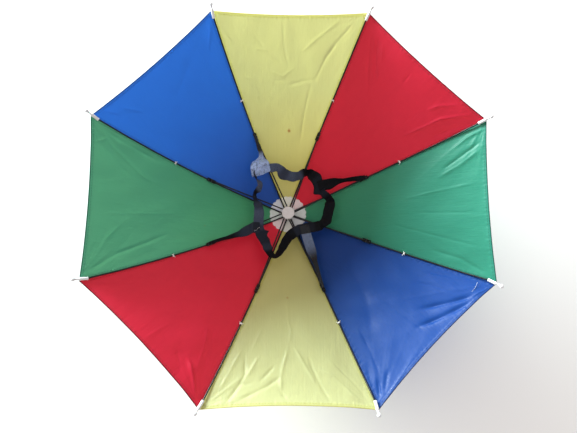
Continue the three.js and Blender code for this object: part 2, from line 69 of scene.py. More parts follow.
# Frame, as in the solids
FIT_GAP = 0.3
CLOTH_GAP = 0.4
RIB_RADIUS = 1.2
RIB_SHIFT = 1.2
RIB_BOW = 2.4
STRETCHER_RADIUS = 1.1
STRETCHER_SHIFT = -2.8
STRETCHER_ROOT = 20.6
STRETCHER_PAST = 2
JOINT_RADIUS = 133
JOINT_LENGTH = 14
JOINT_WALL = 0.7
JOINT_WEB = 0.8
JOINT_SKIRT = 0.6
PIN_GAP = 0.8
ROSETTE_RADIUS = 30
ROSETTE_THICKNESS = 0.6
ROSETTE_GAP = 0.5
FILM_THICKNESS = 0.22
ROSETTE_RUN = 25
SCALLOP_COUNT = 24
SCALLOP_DEPTH = 1.8
CORE_RADIUS = 5.2
POST_RADIUS = 3.5
NOTCH_RADIUS = 9
NOTCH_PLATE = 2
RUNNER_RADIUS = 10
RUNNER_PLATE = 2
RUNNER_FOOT = 7.5
WIRE_START = CORE_RADIUS + 2 * FIT_GAP
CAP_RADIUS = 15
CAP_FOOT = 11
CAP_HEIGHT = 5
TIP_START = CANOPY_RADIUS - 10
TIP_OVERLAP = 4
TIP_BORE = 1.9
TIP_LENGTH = 24
TIP_ROOM = 2
TIP_RISE = 40
SLEEVE_RADIUS = 2.5
SLEEVE_LENGTH = 13
NECK_RADIUS = 1.3
BALL_RADIUS = 2.9

# Head band and tethers, as in the solids
BAND_WIDTH = 17
BAND_THICKNESS = 1.2
BAND_SPAN = 80
TETHER_WIDTH = 12
TETHER_THICKNESS = 1
TETHER_SQUARE = 0.4
TETHER_DROP = 0.6
STRAP_GAP = 0.5
JOIN_GAP = 0.8

# Cloth of the dressed gores
WALL = 0.36  # thickness of the nylon
SEAM_SLIT = 0.1  # between two gores
HEM_WIDTH = 5
SEAM_WIDTH = 5
FOLD_STEP = 0.16  # how far the inner face stands out where the cloth is folded over
DOUBLED = 1.4 * FOLD_STEP  # how much thicker the cloth is there
CUT_EDGE = (0.8, 1.7)  # from the hem, where the cut edge's tint ends
HEM_PUCKER = 0.16
SEAM_GATHER = 0.12
PATTERN_SHIFT = 40.0  # between the patterns of two gores
FOLD_SHARE = 0.5  # of the solids' main folds, which the small creases make up for
STITCH_PITCH = 4.0
STITCH_LENGTH = 2.8
STITCH_RADIUS = 0.16
HEM_STITCHES = 1.2  # from the edge of the folded hem to its stitches
SEAM_STITCHES = 1.3  # the same at the seams
HEM_UNSEWN = 6  # at each end of a hem
SEAM_UNSEWN = 12  # at the outer end of a seam
SEAM_SEWN_FROM = 0.11
ROWS = 164
COLUMNS = 134

# One row for each gore, counter-clockwise from the first rib.
GORES = [
    Row(name="red_1", dye="red", hem=0.65, billow=1.0, fan=(0.7, 0.55), seed=11),
    Row(name="yellow_1", dye="yellow", hem=0.95, billow=1.0, fan=(0.5, 0.35), seed=12),
    Row(name="blue_1", dye="blue", hem=0.8, billow=1.0, fan=(0.4, 0.4), seed=13),
    Row(name="green_1", dye="green", hem=0.7, billow=1.1, fan=(0.7, 0.8), seed=14),
    Row(name="red_2", dye="red", hem=0.8, billow=1.2, fan=(0.5, 0.8), seed=15),
    Row(name="yellow_2", dye="yellow", hem=0.85, billow=1.0, fan=(1.0, 1.0), seed=16),
    Row(name="blue_2", dye="blue", hem=0.9, billow=1.3, fan=(0.9, 1.0), seed=17),
    Row(name="green_2", dye="green", hem=0.65, billow=1.1, fan=(0.8, 1.1), seed=18),
]

# The main folds, as in the solids: their gore, where they start and where they end, as shares along and
# across it, and their height and width as shares of FOLD_HEIGHT and FOLD_WIDTH.
FOLDS = [
    (0, (0.95, -0.75), (0.62, -0.15), 0.7, 0.8), (1, (0.96, 0.7), (0.5, 0.2), 0.5, 0.8),
    (2, (0.96, -0.8), (0.6, 0.1), 0.5, 1.0), (3, (0.95, -0.75), (0.55, 0.0), 0.8, 0.8),
    (3, (0.95, 0.75), (0.65, 0.3), 0.5, 0.7), (4, (0.95, 0.75), (0.5, 0.1), 0.9, 0.8),
    (4, (0.9, -0.4), (0.6, 0.0), -0.6, 0.9), (5, (0.95, 0.7), (0.55, 0.1), 0.8, 0.7),
    (6, (0.95, 0.8), (0.6, 0.15), 1.0, 0.7), (6, (0.85, 0.3), (0.55, -0.2), -0.9, 1.0),
    (7, (0.95, 0.75), (0.6, 0.0), 0.9, 0.8), (7, (0.9, -0.5), (0.7, -0.1), 0.5, 0.8),
]

# Small creases as they lie in the photo, gore by gore: their height and width in millimetres, and then
# their places in the photo's frame of 577 by 433. A height above 0 stands towards the open side.
CREASES = [
    [
        (1.87, 3.4, (404, 136), (424, 127), (441, 119), (470, 115)),
        (1.19, 3.0, (428, 110), (439, 106), (458, 105)), (-1.02, 4.0, (372, 29), (369, 62), (368, 100)),
        (-1.02, 3.6, (378, 38), (376, 60), (376, 82)), (0.68, 3.6, (383, 44), (382, 68)),
        (-0.68, 3.0, (410, 74), (404, 82)), (-1.53, 5.0, (432, 136), (455, 128), (477, 123)),
    ],
    [
        (0.9, 3.0, (355, 22), (336, 43), (326, 57), (315, 80)),
        (-0.7, 2.8, (338, 22), (317, 38), (303, 51)), (0.5, 3.0, (283, 20), (284, 46), (288, 66)),
        (0.4, 3.4, (252, 30), (264, 49), (281, 66)), (-0.3, 2.6, (255, 49), (270, 50)),
        (-0.5, 2.6, (271, 72), (283, 76), (296, 66)), (0.6, 2.6, (288, 85), (303, 81), (315, 79)),
        (0.35, 2.6, (272, 79), (288, 81)), (-0.3, 2.6, (244, 77), (252, 79)),
        (0.45, 3.0, (310, 86), (304, 114), (300, 144)), (-0.8, 2.4, (221, 28), (231, 41)),
    ],
    [
        (-1.0, 3.6, (211, 20), (210, 34), (208, 50)), (-0.7, 3.2, (106, 110), (121, 115)),
        (-0.5, 3.2, (121, 107), (143, 112)), (0.4, 8.0, (190, 60), (176, 98)),
    ],
    [
        (-0.9, 5.0, (98, 122), (111, 146), (141, 176), (158, 186)),
        (0.7, 4.4, (102, 144), (120, 167), (130, 177)), (1.0, 5.0, (108, 133), (134, 148), (158, 162)),
        (-0.35, 2.4, (97, 214), (137, 214), (178, 214)),
        (1.0, 4.4, (86, 272), (116, 254), (146, 243), (167, 234)),
        (-0.6, 5.0, (87, 267), (108, 236), (127, 218)), (-0.7, 2.4, (96, 142), (106, 139)),
    ],
    [
        (2.6, 4.2, (187, 361), (192, 378), (195, 399)), (0.9, 3.0, (207, 328), (203, 348), (197, 367)),
        (0.5, 2.6, (147, 338), (158, 331), (170, 324)), (0.5, 3.6, (89, 285), (112, 286), (134, 285)),
        (-0.7, 4.6, (176, 350), (180, 374)), (-0.5, 4.0, (213, 330), (203, 372)),
        (2.4, 60, (224, 250), (202, 314), (192, 375)),
    ],
    [
        (0.5, 2.8, (288, 297), (288, 322), (291, 332), (288, 350)),
        (1.0, 3.2, (288, 350), (284, 365), (281, 379), (281, 395)),
        (-1.1, 3.4, (281, 378), (267, 388), (238, 402)), (-0.8, 2.8, (279, 390), (286, 401)),
        (-0.9, 3.0, (275, 367), (259, 384)), (0.8, 3.2, (259, 358), (246, 380)),
        (-1.3, 3.4, (245, 358), (245, 375), (240, 385), (226, 404)),
        (0.8, 3.4, (241, 352), (230, 372), (219, 392)), (-0.6, 2.6, (239, 385), (252, 385)),
        (1.2, 3.0, (295, 350), (302, 362), (315, 384)),
        (-1.1, 3.0, (309, 359), (312, 369), (321, 388), (331, 404)),
        (0.9, 3.4, (320, 371), (333, 378), (358, 401)), (-0.9, 3.4, (334, 365), (350, 380), (369, 401)),
        (0.4, 4.0, (262, 330), (250, 356)),
    ],
    [
        (-2.2, 5.4, (474, 297), (452, 303), (420, 310)), (-2.2, 5.4, (468, 305), (445, 317), (417, 329)),
        (-0.7, 3.0, (415, 283), (434, 287), (458, 294)), (-0.5, 2.6, (380, 299), (417, 326), (434, 340)),
        (-1.2, 3.2, (367, 366), (370, 380), (376, 396)), (-0.8, 3.2, (361, 332), (371, 352), (380, 375)),
        (-1.4, 3.8, (378, 380), (380, 398)), (-0.9, 3.0, (388, 372), (385, 392)),
        (-0.5, 2.8, (425, 272), (450, 277)), (-1.7, 24, (347, 262), (366, 298), (374, 334)),
    ],
    [
        (1.5, 3.4, (483, 130), (468, 138), (456, 148)), (-1.6, 3.6, (480, 143), (460, 158), (445, 169)),
        (1.0, 4.0, (481, 150), (462, 165), (440, 178)),
        (0.7, 2.6, (474, 184), (456, 188), (433, 193), (408, 199)),
        (-0.5, 2.4, (416, 213), (452, 213), (487, 213)), (-0.6, 2.8, (394, 225), (433, 235), (481, 247)),
        (-1.2, 4.4, (433, 250), (462, 259), (491, 277)), (-1.3, 4.6, (470, 131), (440, 146)),
    ],
]
CREASE_LIFT = 1.25  # their height is taken times this
CREASE_SLIM = 0.62  # and their width times this

# Spots on the cloth: their gore, place in the photo's frame, radius in millimetres and strength.
SPOTS = [(1, (289, 131.5), 2.6, 0.75), (5, (287.5, 298), 1.7, 0.5), (3, (205, 226), 1.4, 0.25)]

# Loose threads, as they lie in the photo's frame
LOOP_PIXEL = (365, 18.5)
WHITE_STRAND = ((477, 282), (475.5, 285.5), (473.5, 289), (470, 293), (466.5, 297))
# The dark strand is a black thread laid where the white strand's shadow falls: painted shadow.
SHADOW_STRAND = ((479, 283.5), (477.5, 286), (475, 287.5), (473.5, 291), (471, 297))

# How far each rib's tip is bent sideways, as in the solids.
TIP_SKEWS = (2, -4, -8, -7, -10, -5, -10, -9)

# The head band's loop: x and y as in the solids, as shares of BAND_SPAN, then the lean of its width in
# degrees, and how grey its face looks, which is a painted sheen. The lean is mostly flatter than in the
# solids, by up to 38 degrees, as the photo shows more of the band's face, and at three rows it is steeper,
# by up to 21.
LEAN, PAINTED_SHEEN = 2, 3  # columns
BAND = [
    (-0.36, 0.87, 50, 0.9), (-0.22, 0.88, 55, 0.8), (-0.08, 0.77, 28, 0.3), (0.07, 0.71, 34, 0.6),
    (0.21, 0.72, 50, 0.5), (0.35, 0.78, 66, 0.0), (0.48, 0.74, 20, 0.0), (0.58, 0.62, 8, 0.05),
    (0.63, 0.48, 14, 0.05), (0.7, 0.36, 62, 0.1), (0.8, 0.27, 56, 0.0), (0.83, 0.15, 20, 0.0),
    (0.8, 0.02, 18, 0.0), (0.77, -0.11, 24, 0.0), (0.7, -0.23, 34, 0.0), (0.59, -0.29, 12, 0.0),
    (0.46, -0.31, 8, 0.05), (0.32, -0.33, 8, 0.1), (0.19, -0.37, 8, 0.1), (0.07, -0.45, 12, 0.0),
    (-0.02, -0.56, 28, 0.0), (-0.09, -0.69, 36, 0.0), (-0.16, -0.82, 50, 0.0), (-0.25, -0.91, 60, 0.0),
    (-0.35, -0.86, 50, 0.0), (-0.41, -0.72, 30, 0.2), (-0.47, -0.58, 24, 0.1), (-0.54, -0.46, 20, 0.1),
    (-0.58, -0.33, 18, 0.25), (-0.59, -0.19, 18, 0.5), (-0.58, -0.03, 22, 0.6), (-0.6, 0.12, 36, 0.3),
    (-0.66, 0.25, 68, 0.1), (-0.66, 0.36, 78, 0.0), (-0.58, 0.46, 66, 0.7), (-0.57, 0.56, 62, 0.8),
    (-0.65, 0.65, 80, 0.1), (-0.65, 0.76, 72, 0.0), (-0.55, 0.84, 54, 0.2), (-0.46, 0.87, 44, 0.7),
]

# Folds across the band: their row, how far their line slants, and their height in millimetres.
BAND_FOLDS = [
    (1.7, 0.5, 1.3), (2.4, -0.6, -1.0), (5.0, 0.3, 1.6), (6.6, -0.9, 1.0), (9.6, 0.6, 1.6), (8.8, 0.8, -0.9),
    (14.2, 0.5, 1.2), (17.6, 0.0, 1.5), (18.4, 0.3, -1.0), (25.6, -0.6, 1.6), (27.2, 0.4, 1.2),
    (28.3, 0.5, -0.9), (31.4, 0.4, 1.2), (34.0, 0.6, 0.9),
]

# Corners that a fold pushes out of the band's edge: their row, their edge, which is 1 outside and -1
# inside the loop, and how far they reach.
BAND_CORNERS = [
    (1.9, -1, 3.0), (4.7, 1, 3.0), (6.6, 1, 2.5), (8.3, -1, 5.0), (13.6, 1, 3.0), (27.0, -1, 7.0),
]
BAND_STATIONS = 320

# Tethers: their row on the band and their rib are as in the solids, and lean is how their width leans
# half way. Sewn is how far they lie over the band, and crumple is how crushed they are. Spread and narrow
# are their widths at the band and at the joint, as shares of TETHER_WIDTH, and gather is the share of
# their run over which they narrow. Shift is how far their sewn end lies along the band, and hold is the
# share of their run over which they leave that line. Rise is how far they climb over the band's corner,
# and tone is how pale they are over the band and beyond its edge.
# Tone paints the straps pale: on the elastic a painted sheen, on the tape partly its own grey and partly a
# painted sheen.
TETHERS = [
    Row(name="tether_1", dye="elastic", row=7.6, rib=0, lean=62, sewn=9, crumple=0.1,
        spread=1.5, narrow=0.6, gather=(0.05, 0.5), shift=-2, hold=(0, 0.35), rise=0, tone=(0.0, 0.0)),
    Row(name="tether_2", dye="tape", row=38.8, rib=2, lean=30, sewn=15, crumple=1.0,
        spread=2.6, narrow=0.35, gather=(0.0, 0.3), shift=7, hold=(0, 0.35), rise=7, tone=(1.0, 1.0)),
    Row(name="tether_3", dye="elastic", row=28.8, rib=4, lean=34, sewn=10, crumple=0.25,
        spread=1.45, narrow=0.35, gather=(0.1, 0.5), shift=9, hold=(0.3, 1), rise=0, tone=(0.1, 0.2)),
    Row(name="tether_4", dye="tape", row=16.9, rib=6, lean=30, sewn=13, crumple=0.3,
        spread=1.3, narrow=0.35, gather=(0.3, 0.6), shift=0, hold=(0, 0.35), rise=0, tone=(0.0, 0.3)),
]
LEAN_END = 12
TETHER_STATIONS = 100
TAPE_THICKNESS = 0.5

# Camera: the photo looks down into the bowl from a metre away.
PHOTO_WIDTH = 577
PHOTO_HEIGHT = 433
FOCAL_PIXELS = 607.7
CENTRE_PIXEL = (287.8, 215.6)  # where the photo shows the middle of the crown
CAMERA_DISTANCE = 1000
TILT = 11.3
SIDE = 1.24
ROLL = -0.2

# Light and floor, in metres and watts
WINDOW_SIZE = (2.0, 0.6)
WINDOW_DISTANCE = 2.6
WINDOW_TURN = 135
WINDOW_RISE = 7.8
WINDOW_POWER = 405
ROOM_STRENGTH = 0.82
FLOOR_SIZE = 8.0
FLOOR_DROP = 0.0004
WINDOW_COLOUR = (0.86, 1.0, 1.0)
ROOM_COLOUR = (1.0, 0.95, 0.92, 1)


def smooth(low, high, x):
    t = np.clip((x - low) / (high - low), 0, 1)
    return t * t * (3 - 2 * t)


def camera_axes():
    """Rows are the camera's right, up and back directions."""
    turns = [(ROLL, "Z"), (-TILT, "X"), (SIDE, "Y")]
    axes = Matrix.Identity(3)
    for angle, axis in turns:
        axes = axes @ Matrix.Rotation(math.radians(angle), 3, axis)
    return axes


AXES = camera_axes()


# Cloth

def cloth_height(radius):
    return SEAT_HEIGHT + CROWN_SLOPE * radius + BOWL_CURVE * radius * radius


def cloth_tilt(radius):
    return np.arctan(CROWN_SLOPE + 2 * BOWL_CURVE * radius)


def rib_angle(rib):
    return math.radians(FIRST_RIB_ANGLE + rib * 360 / RIB_COUNT)


def turned_about_up(points, angle):
    c, s = math.cos(angle), math.sin(angle)
    x, y, z = points[..., 0], points[..., 1], points[..., 2]
    return np.stack([c * x - s * y, s * x + c * y, z], axis=-1)


def rib_sideways(radius):
    share = radius / CANOPY_RADIUS
    return RIB_SHIFT * (1 - share) + RIB_BOW * np.sin(np.pi * share)


def over_seam(rib, radius, lift):
    """Points over the cloth at a rib's line, lifted square to the cloth."""
    radius = np.asarray(radius, float)
    tilt = cloth_tilt(radius)
    reach = radius - lift * np.sin(tilt)
    height = cloth_height(radius) + lift * np.cos(tilt)
    return turned_about_up(np.stack([reach, rib_sideways(radius), height], axis=-1), rib_angle(rib))


def hem_radius(gore, across):
    return CANOPY_RADIUS - HEM_SAG * GORES[gore].hem * (1 - across * across)


def cloth_radius(share):
    return CLOTH_HOLE + (CANOPY_RADIUS - CLOTH_HOLE) * share


def half_width(share):
    """Half of a gore's width, from rib to rib."""
    return (CLOTH_HOLE + CANOPY_RADIUS * share) * math.sin(HALF_GORE)


def gore_base(gore, share, across):
    """The cloth before folds: share runs from the hole to the hem, across from -1 to 1."""
    radius = CLOTH_HOLE + (hem_radius(gore, across) - CLOTH_HOLE) * share
    start = over_seam(gore, radius, 0)
    chord = over_seam(gore + 1, radius, 0) - start
    length = np.linalg.norm(chord, axis=-1, keepdims=True)
    run = SEAM_SLIT / 2 + (length - SEAM_SLIT) * (across[..., None] + 1) / 2
    return start + chord * run / length


def unit(vectors):
    return vectors / np.linalg.norm(vectors, axis=-1, keepdims=True)


def gore_axes(gore, share, across):
    """Directions on the cloth: along the gore, across it, and square to it towards the open side."""
    step = 0.01
    low = np.maximum(share - step, 0)
    high = np.minimum(share + step, 1)
    along = unit(gore_base(gore, high, across) - gore_base(gore, low, across))
    side = unit(gore_base(gore, share, across + step) - gore_base(gore, share, across - step))
    normal = unit(np.cross(along, side))
    return along, side, normal


def fold_place(along, across):
    """A place on a gore: its distances from the hub and from the gore's middle line."""
    radius = along * CANOPY_RADIUS
    return radius, across * radius * math.tan(HALF_GORE)


def main_relief(gore, share, across):
    """Billow and main folds, as in the solids."""
    radius = cloth_radius(share)
    aside = across * radius * math.tan(HALF_GORE)
    to_seam = 1 - across * across
    relief = BILLOW_DEPTH * GORES[gore].billow * to_seam * smooth(BILLOW_FROM, BILLOW_FULL, share)
    for place, start, end, height, width in FOLDS:
        if place == gore:
            distance, passed = to_segment(radius, aside, *fold_place(*start), *fold_place(*end))
            shape = np.exp(-((distance / (FOLD_WIDTH * width)) ** 2))
            fade = (1 - FOLD_FADE * passed) * smooth(0, SEAM_FADE, to_seam)
            relief = relief + FOLD_SHARE * FOLD_HEIGHT * height * shape * fade
    return relief


def to_segment(x, y, ax, ay, bx, by):
    """Distances from points to the segment from a to b, and the share of it passed."""
    dx, dy = bx - ax, by - ay
    passed = np.clip(((x - ax) * dx + (y - ay) * dy) / (dx * dx + dy * dy), 0, 1)
    return np.hypot(x - ax - passed * dx, y - ay - passed * dy), passed


def facet_height(x, y):
    """Height of the gores' chords over places in plan."""
    pitch = 2 * math.pi / RIB_COUNT
    from_rib = np.arctan2(y, x) - math.radians(FIRST_RIB_ANGLE)
    from_middle = from_rib % pitch - pitch / 2
    return cloth_height(np.hypot(x, y) * np.cos(from_middle) / math.cos(pitch / 2))


def place_of(pixel):
    """Where the camera's ray through a pixel of the photo meets the cloth, in plan."""
    right = (pixel[0] - CENTRE_PIXEL[0]) / FOCAL_PIXELS
    rise = -(pixel[1] - CENTRE_PIXEL[1]) / FOCAL_PIXELS
    eye = AXES.transposed() @ Vector((0, 0, CAMERA_DISTANCE))
    ray = AXES.transposed() @ Vector((right, rise, -1))
    height = 0
    for _ in range(12):
        point = eye + ray * ((height - eye.z) / ray.z)
        height = float(facet_height(point.x, point.y))
    return point.x, point.y


def ridge(distance, width):
    """A fold's section: a narrow crest with sides that run out softly."""
    return np.exp(-1.4 * (np.sqrt((distance / width) ** 2 + 0.05) - 0.22))


def crease_relief(crease, x, y):
    """A small crease along its line of pixels, which fades out at both ends."""
    height, width, *pixels = crease
    places = [place_of(pixel) for pixel in pixels]
    nearest = np.full(x.shape, np.inf)
    run = np.zeros(x.shape)
    before = 0
    for a, b in zip(places, places[1:]):
        length = math.dist(a, b)
        distance, passed = to_segment(x, y, *a, *b)
        closer = distance < nearest
        nearest = np.where(closer, distance, nearest)
        run = np.where(closer, before + passed * length, run)
        before += length
    share = run / before
    fade = smooth(-0.15, 0.3, share) * smooth(-0.15, 0.3, 1 - share)
    wander = 1 + 0.25 * np.sin(run / 7.0)
    return CREASE_LIFT * height * wander * fade * ridge(nearest, CREASE_SLIM * width)


def corner_fan(gore, side, x, y):
    """Wrinkles that radiate from a gore's corner, where the tip pulls at it."""
    random = np.random.RandomState(GORES[gore].seed * 10 + side)
    corner = over_seam(gore + side, CANOPY_RADIUS, 0)
    inward = math.atan2(-corner[1], -corner[0])
    distance = np.hypot(x - corner[0], y - corner[1])
    angle = np.arctan2(y - corner[1], x - corner[0]) - inward
    angle = (angle + np.pi) % (2 * np.pi) - np.pi
    relief = np.zeros(x.shape)
    for waves in (9, 15, 23):
        phase = random.uniform(0, 2 * math.pi)
        reach = random.uniform(60, 110) * 14 / (waves + 5)
        bend = random.uniform(-0.3, 0.3)
        wave = (1 - np.abs(np.sin(waves * (angle + bend * distance / 300) + phase))) ** 2 - 0.3
        relief += 16 / waves * wave * np.exp(-distance / reach) * smooth(2, 26, distance)
    return 0.42 * GORES[gore].fan[side] * relief


def ripples(gore, x, y):
    """Long soft waves that run mostly towards the hub."""
    random = np.random.RandomState(GORES[gore].seed)
    middle = rib_angle(gore) + HALF_GORE
    relief = np.zeros(x.shape)
    for _ in range(9):
        heading = middle + math.pi / 2 + random.normal(0, 0.5)
        length = random.uniform(22, 60)
        across = x * math.cos(heading) + y * math.sin(heading)
        along = -x * math.sin(heading) + y * math.cos(heading)
        phase = random.uniform(0, 2 * math.pi)
        swell = 0.5 + 0.5 * np.sin(along / random.uniform(25, 45) + random.uniform(0, 6))
        relief += length / 60 * 0.16 * swell * np.sin(2 * math.pi * across / length + phase)
    return relief


def hem_distance(gore, share, across):
    slope = 1 / np.cos(cloth_tilt(CANOPY_RADIUS))
    return (1 - share) * (hem_radius(gore, across) - CLOTH_HOLE) * slope * math.cos(HALF_GORE)


def seam_distance(gore, share, across):
    return (1 - np.abs(across)) * cloth_radius(share) * math.sin(HALF_GORE)


def fine_relief(gore, share, across, x, y):
    """What the dressed cloth adds to the solids' form."""
    to_hem = hem_distance(gore, share, across)
    to_seam = seam_distance(gore, share, across)
    relief = ripples(gore, x, y) * smooth(0.15, 0.6, share)
    for side in (0, 1):
        relief = relief + corner_fan(gore, side, x, y)
    for crease in CREASES[gore]:
        relief = relief + crease_relief(crease, x, y)
    relief = relief * smooth(1.5, 14, to_seam) * (0.35 + 0.65 * smooth(0, 9, to_hem))
    turns = 2 * math.pi * across * half_width(share)
    pucker = np.sin(turns / 6.3) + 0.6 * np.sin(turns / 9.1 + 1)
    near_hem = np.exp(-(((to_hem - HEM_WIDTH) / 3.0) ** 2))
    relief = relief + HEM_PUCKER * pucker * near_hem * smooth(3, 12, to_seam)
    turns = 2 * math.pi * share * CANOPY_RADIUS
    gather = np.sin(turns / 8.3 + gore) + 0.7 * np.sin(turns / 5.7)
    near_seam = np.exp(-(((to_seam - SEAM_WIDTH) / 2.6) ** 2))
    return relief + SEAM_GATHER * gather * near_seam * smooth(0.1, 0.3, share)


def folded_over(gore, share, across):
    """1 where the cloth is double, at the hem and beside the seams, and 0 elsewhere."""
    hem = 1 - smooth(HEM_WIDTH - 0.7, HEM_WIDTH + 0.7, hem_distance(gore, share, across))
    seam = 1 - smooth(SEAM_WIDTH - 0.6, SEAM_WIDTH + 0.6, seam_distance(gore, share, across))
    return np.maximum(hem, seam * smooth(0.06, 0.12, share))


def gore_surface(gore, share, across, lift=0.0):
    """Points on the inner face of a dressed gore, with the cloth's normal there."""
    base = gore_base(gore, share, across)
    _, _, normal = gore_axes(gore, share, across)
    relief = main_relief(gore, share, across)
    relief = relief + fine_relief(gore, share, across, base[..., 0], base[..., 1])
    relief = relief + FOLD_STEP * folded_over(gore, share, across) + lift
    return base + normal * relief[..., None], normal


def gore_grid(gore):
    """Shares along and across at the nodes of a gore's grid, finer at the hem and the seams."""
    run = CANOPY_RADIUS - CLOTH_HOLE
    edge = np.array([14, 11.5, 9.5, 8.2, 7.5, 7.0, 6.5, 5.8, 4.6, 3.2, 1.8, 0.7, 0]) * 0.86
    inside = np.linspace(0, 1, ROWS - len(edge) + 1)[:-1] ** 0.85
    shares = np.concatenate([inside * (1 - edge[0] / run), 1 - edge / run])
    beside = np.array([0, 0.9, 2.2, 3.6, 4.6, 5.0, 5.4, 6.4, 8.4, 11])
    rows = []
    for share in shares:
        half = (CLOTH_HOLE + run * share) * math.sin(HALF_GORE)
        near = beside * min(1, half / 22) / half
        inner = np.linspace(-1 + near[-1], 1 - near[-1], COLUMNS - 2 * len(beside) + 2)[1:-1]
        rows.append(np.concatenate([-1 + near, inner, (1 - near)[::-1]]))
    across = np.array(rows)
    return np.repeat(shares[:, None], across.shape[1], axis=1), across


# Meshes

def quads_of(rows, columns, first=0, close=False):
    """Faces of a grid of points, wrapped round across its columns if close is set."""
    faces = []
    for row in range(rows - 1):
        for column in range(columns if close else columns - 1):
            after = (column + 1) % columns
            a = first + row * columns + column
            b = first + row * columns + after
            faces.append((a, b, b + columns, a + columns))
    return faces


def wall_between(upper, lower, close=False):
    """A wall with two grids of points as its faces, joined along its edges. It is wrapped round across
    its columns if close is set."""
    rows, columns = upper.shape[:2]
    count = rows * columns
    faces = quads_of(rows, columns, close=close)
    faces += [tuple(reversed(face)) for face in quads_of(rows, columns, count, close)]
    index = np.arange(count).reshape(rows, columns)
    rims = [index[0], index[-1]]
    if not close:
        rims = [np.concatenate([index[0], index[1:, -1], index[-1, -2::-1], index[-2:0:-1, 0]])]
    for rim in rims:
        for a, b in zip(rim.tolist(), np.roll(rim, -1).tolist()):
            faces.append((a, a + count, b + count, b))
    return np.concatenate([upper.reshape(-1, 3), lower.reshape(-1, 3)]), faces


def shape_mesh(mesh, change):
    """Changes a mesh in place and shades it smooth."""
    shaper = bmesh.new()
    shaper.from_mesh(mesh)
    change(shaper)
    shaper.to_mesh(mesh)
    shaper.free()
    mesh.shade_smooth()


def add_attribute(piece, name, values):
    """Gives each point of a piece a number or a vector."""
    values = np.asarray(values, np.float32)
    kind, key = ("FLOAT", "value") if values.ndim == 1 else ("FLOAT_VECTOR", "vector")
    made = piece.data.attributes.new(name, kind, "POINT")
    made.data.foreach_set(key, values.reshape(-1))


def piece_from(name, shape, material, node=None):
    """A piece of the given points and faces. It stands for a node of the solids where one is named."""
    points, faces = shape
    mesh = bpy.data.meshes.new(name)
    mesh.from_pydata((np.asarray(points, float).reshape(-1, 3) * MM).tolist(), [], faces)
    mesh.update()
    piece = bpy.data.objects.new(name, mesh)
    bpy.context.scene.collection.objects.link(piece)
    shape_mesh(mesh, lambda shaper: bmesh.ops.recalc_face_normals(shaper, faces=shaper.faces))
    mesh.materials.append(material)
    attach(piece, "root")
    if node:
        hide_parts(node)
    return piece


def joined(parts):
    """Several (points, faces) as one."""
    points, faces, start = [], [], 0
    for part_points, part_faces in parts:
        part_points = np.asarray(part_points, float).reshape(-1, 3)
        points.append(part_points)
        faces.extend(tuple(start + i for i in face) for face in part_faces)
        start += len(part_points)
    return np.concatenate(points), faces


def turns_of(count):
    return np.linspace(0, 2 * math.pi, count, endpoint=False)


def sweep(centres, sides, ups, half_widths, half_heights, segments):
    """A closed tube of oval sections, with rounded-off flat ends."""
    centres = np.asarray(centres, float)
    count = len(centres)
    half_widths = np.broadcast_to(half_widths, count)
    half_heights = np.broadcast_to(half_heights, count)
    angles = turns_of(segments)
    ring_x = np.cos(angles)[None, :, None] * half_widths[:, None, None] * np.asarray(sides)[:, None, :]
    ring_y = np.sin(angles)[None, :, None] * half_heights[:, None, None] * np.asarray(ups)[:, None, :]
    points = (centres[:, None, :] + ring_x + ring_y).reshape(-1, 3)
    faces = quads_of(count, segments, close=True)
    faces.append(tuple(range(segments)))
    faces.append(tuple(range((count - 1) * segments, count * segments)))
    return points, faces


def thread(path, radius, segments=6):
    """A thin round strand along a path, with tapered ends."""
    path = np.asarray(path, float)
    tangents = unit(np.gradient(path, axis=0))
    side = np.cross(tangents[0], (0, 0, 1))
    if np.linalg.norm(side) < 0.1:
        side = np.cross(tangents[0], (1, 0, 0))
    sides, ups = [], []
    for tangent in tangents:
        side = unit(side - tangent * np.dot(side, tangent))
        sides.append(side)
        ups.append(np.cross(tangent, side))
    sizes = np.full(len(path), float(radius))
    sizes[[0, -1]] *= 0.35
    return sweep(path, sides, ups, sizes, sizes, segments)


def lathe(profile, segments, axes=None, origin=(0, 0, 0)):
    """Turns a profile of (radius, height), whose first and last points lie on the axis, or which
    closes on itself, about the third of its axes."""
    profile = np.asarray(profile, float)
    on_axis = profile[0][0] < 1e-6
    angles = turns_of(segments)
    ring = profile[1:-1] if on_axis else profile
    points = np.stack([
        ring[:, None, 0] * np.cos(angles), ring[:, None, 0] * np.sin(angles),
        np.repeat(ring[:, None, 1], segments, axis=1),
    ], axis=-1).reshape(-1, 3)
    faces = quads_of(len(ring), segments, close=True)
    top, low_end = (len(ring) - 1) * segments, len(points)
    for i in range(segments):
        after = (i + 1) % segments
        if on_axis:
            faces += [(low_end, after, i), (low_end + 1, top + i, top + after)]
        else:
            faces.append((top + i, top + after, after, i))
    if on_axis:
        points = np.concatenate([points, [[0, 0, profile[0][1]], [0, 0, profile[-1][1]]]])
    if axes is not None:
        points = points @ np.asarray(axes, float)
    return points + np.asarray(origin, float), faces


def rounded(corners, radius, steps=4):
    """A profile whose inner corners are rounded off."""
    corners = [np.asarray(c, float) for c in corners]
    points = [corners[0]]
    for before, here, after in zip(corners, corners[1:], corners[2:]):
        reach = min(radius, np.linalg.norm(before - here) / 2.2, np.linalg.norm(after - here) / 2.2)
        start = here + unit(before - here) * reach
        end = here + unit(after - here) * reach
        for t in np.linspace(0, 1, steps + 1):
            points.append((1 - t) ** 2 * start + 2 * t * (1 - t) * here + t * t * end)
    return [*points, corners[-1]]


def stitches(places, along, normal):
    """Short raised threads, one at each place, lying along the cloth."""
    half = STITCH_LENGTH / 2
    top = 1.4 * STITCH_RADIUS
    path = [(-half, 0, -STITCH_RADIUS), (-0.6 * half, 0, top),
            (0.6 * half, 0, top), (half, 0, -STITCH_RADIUS)]
    shape, faces = thread(path, STITCH_RADIUS, 4)
    side = np.cross(normal, along)
    return [(place + shape @ np.array([run, across, out]), faces)
            for place, run, across, out in zip(places, along, side, normal)]


# Materials

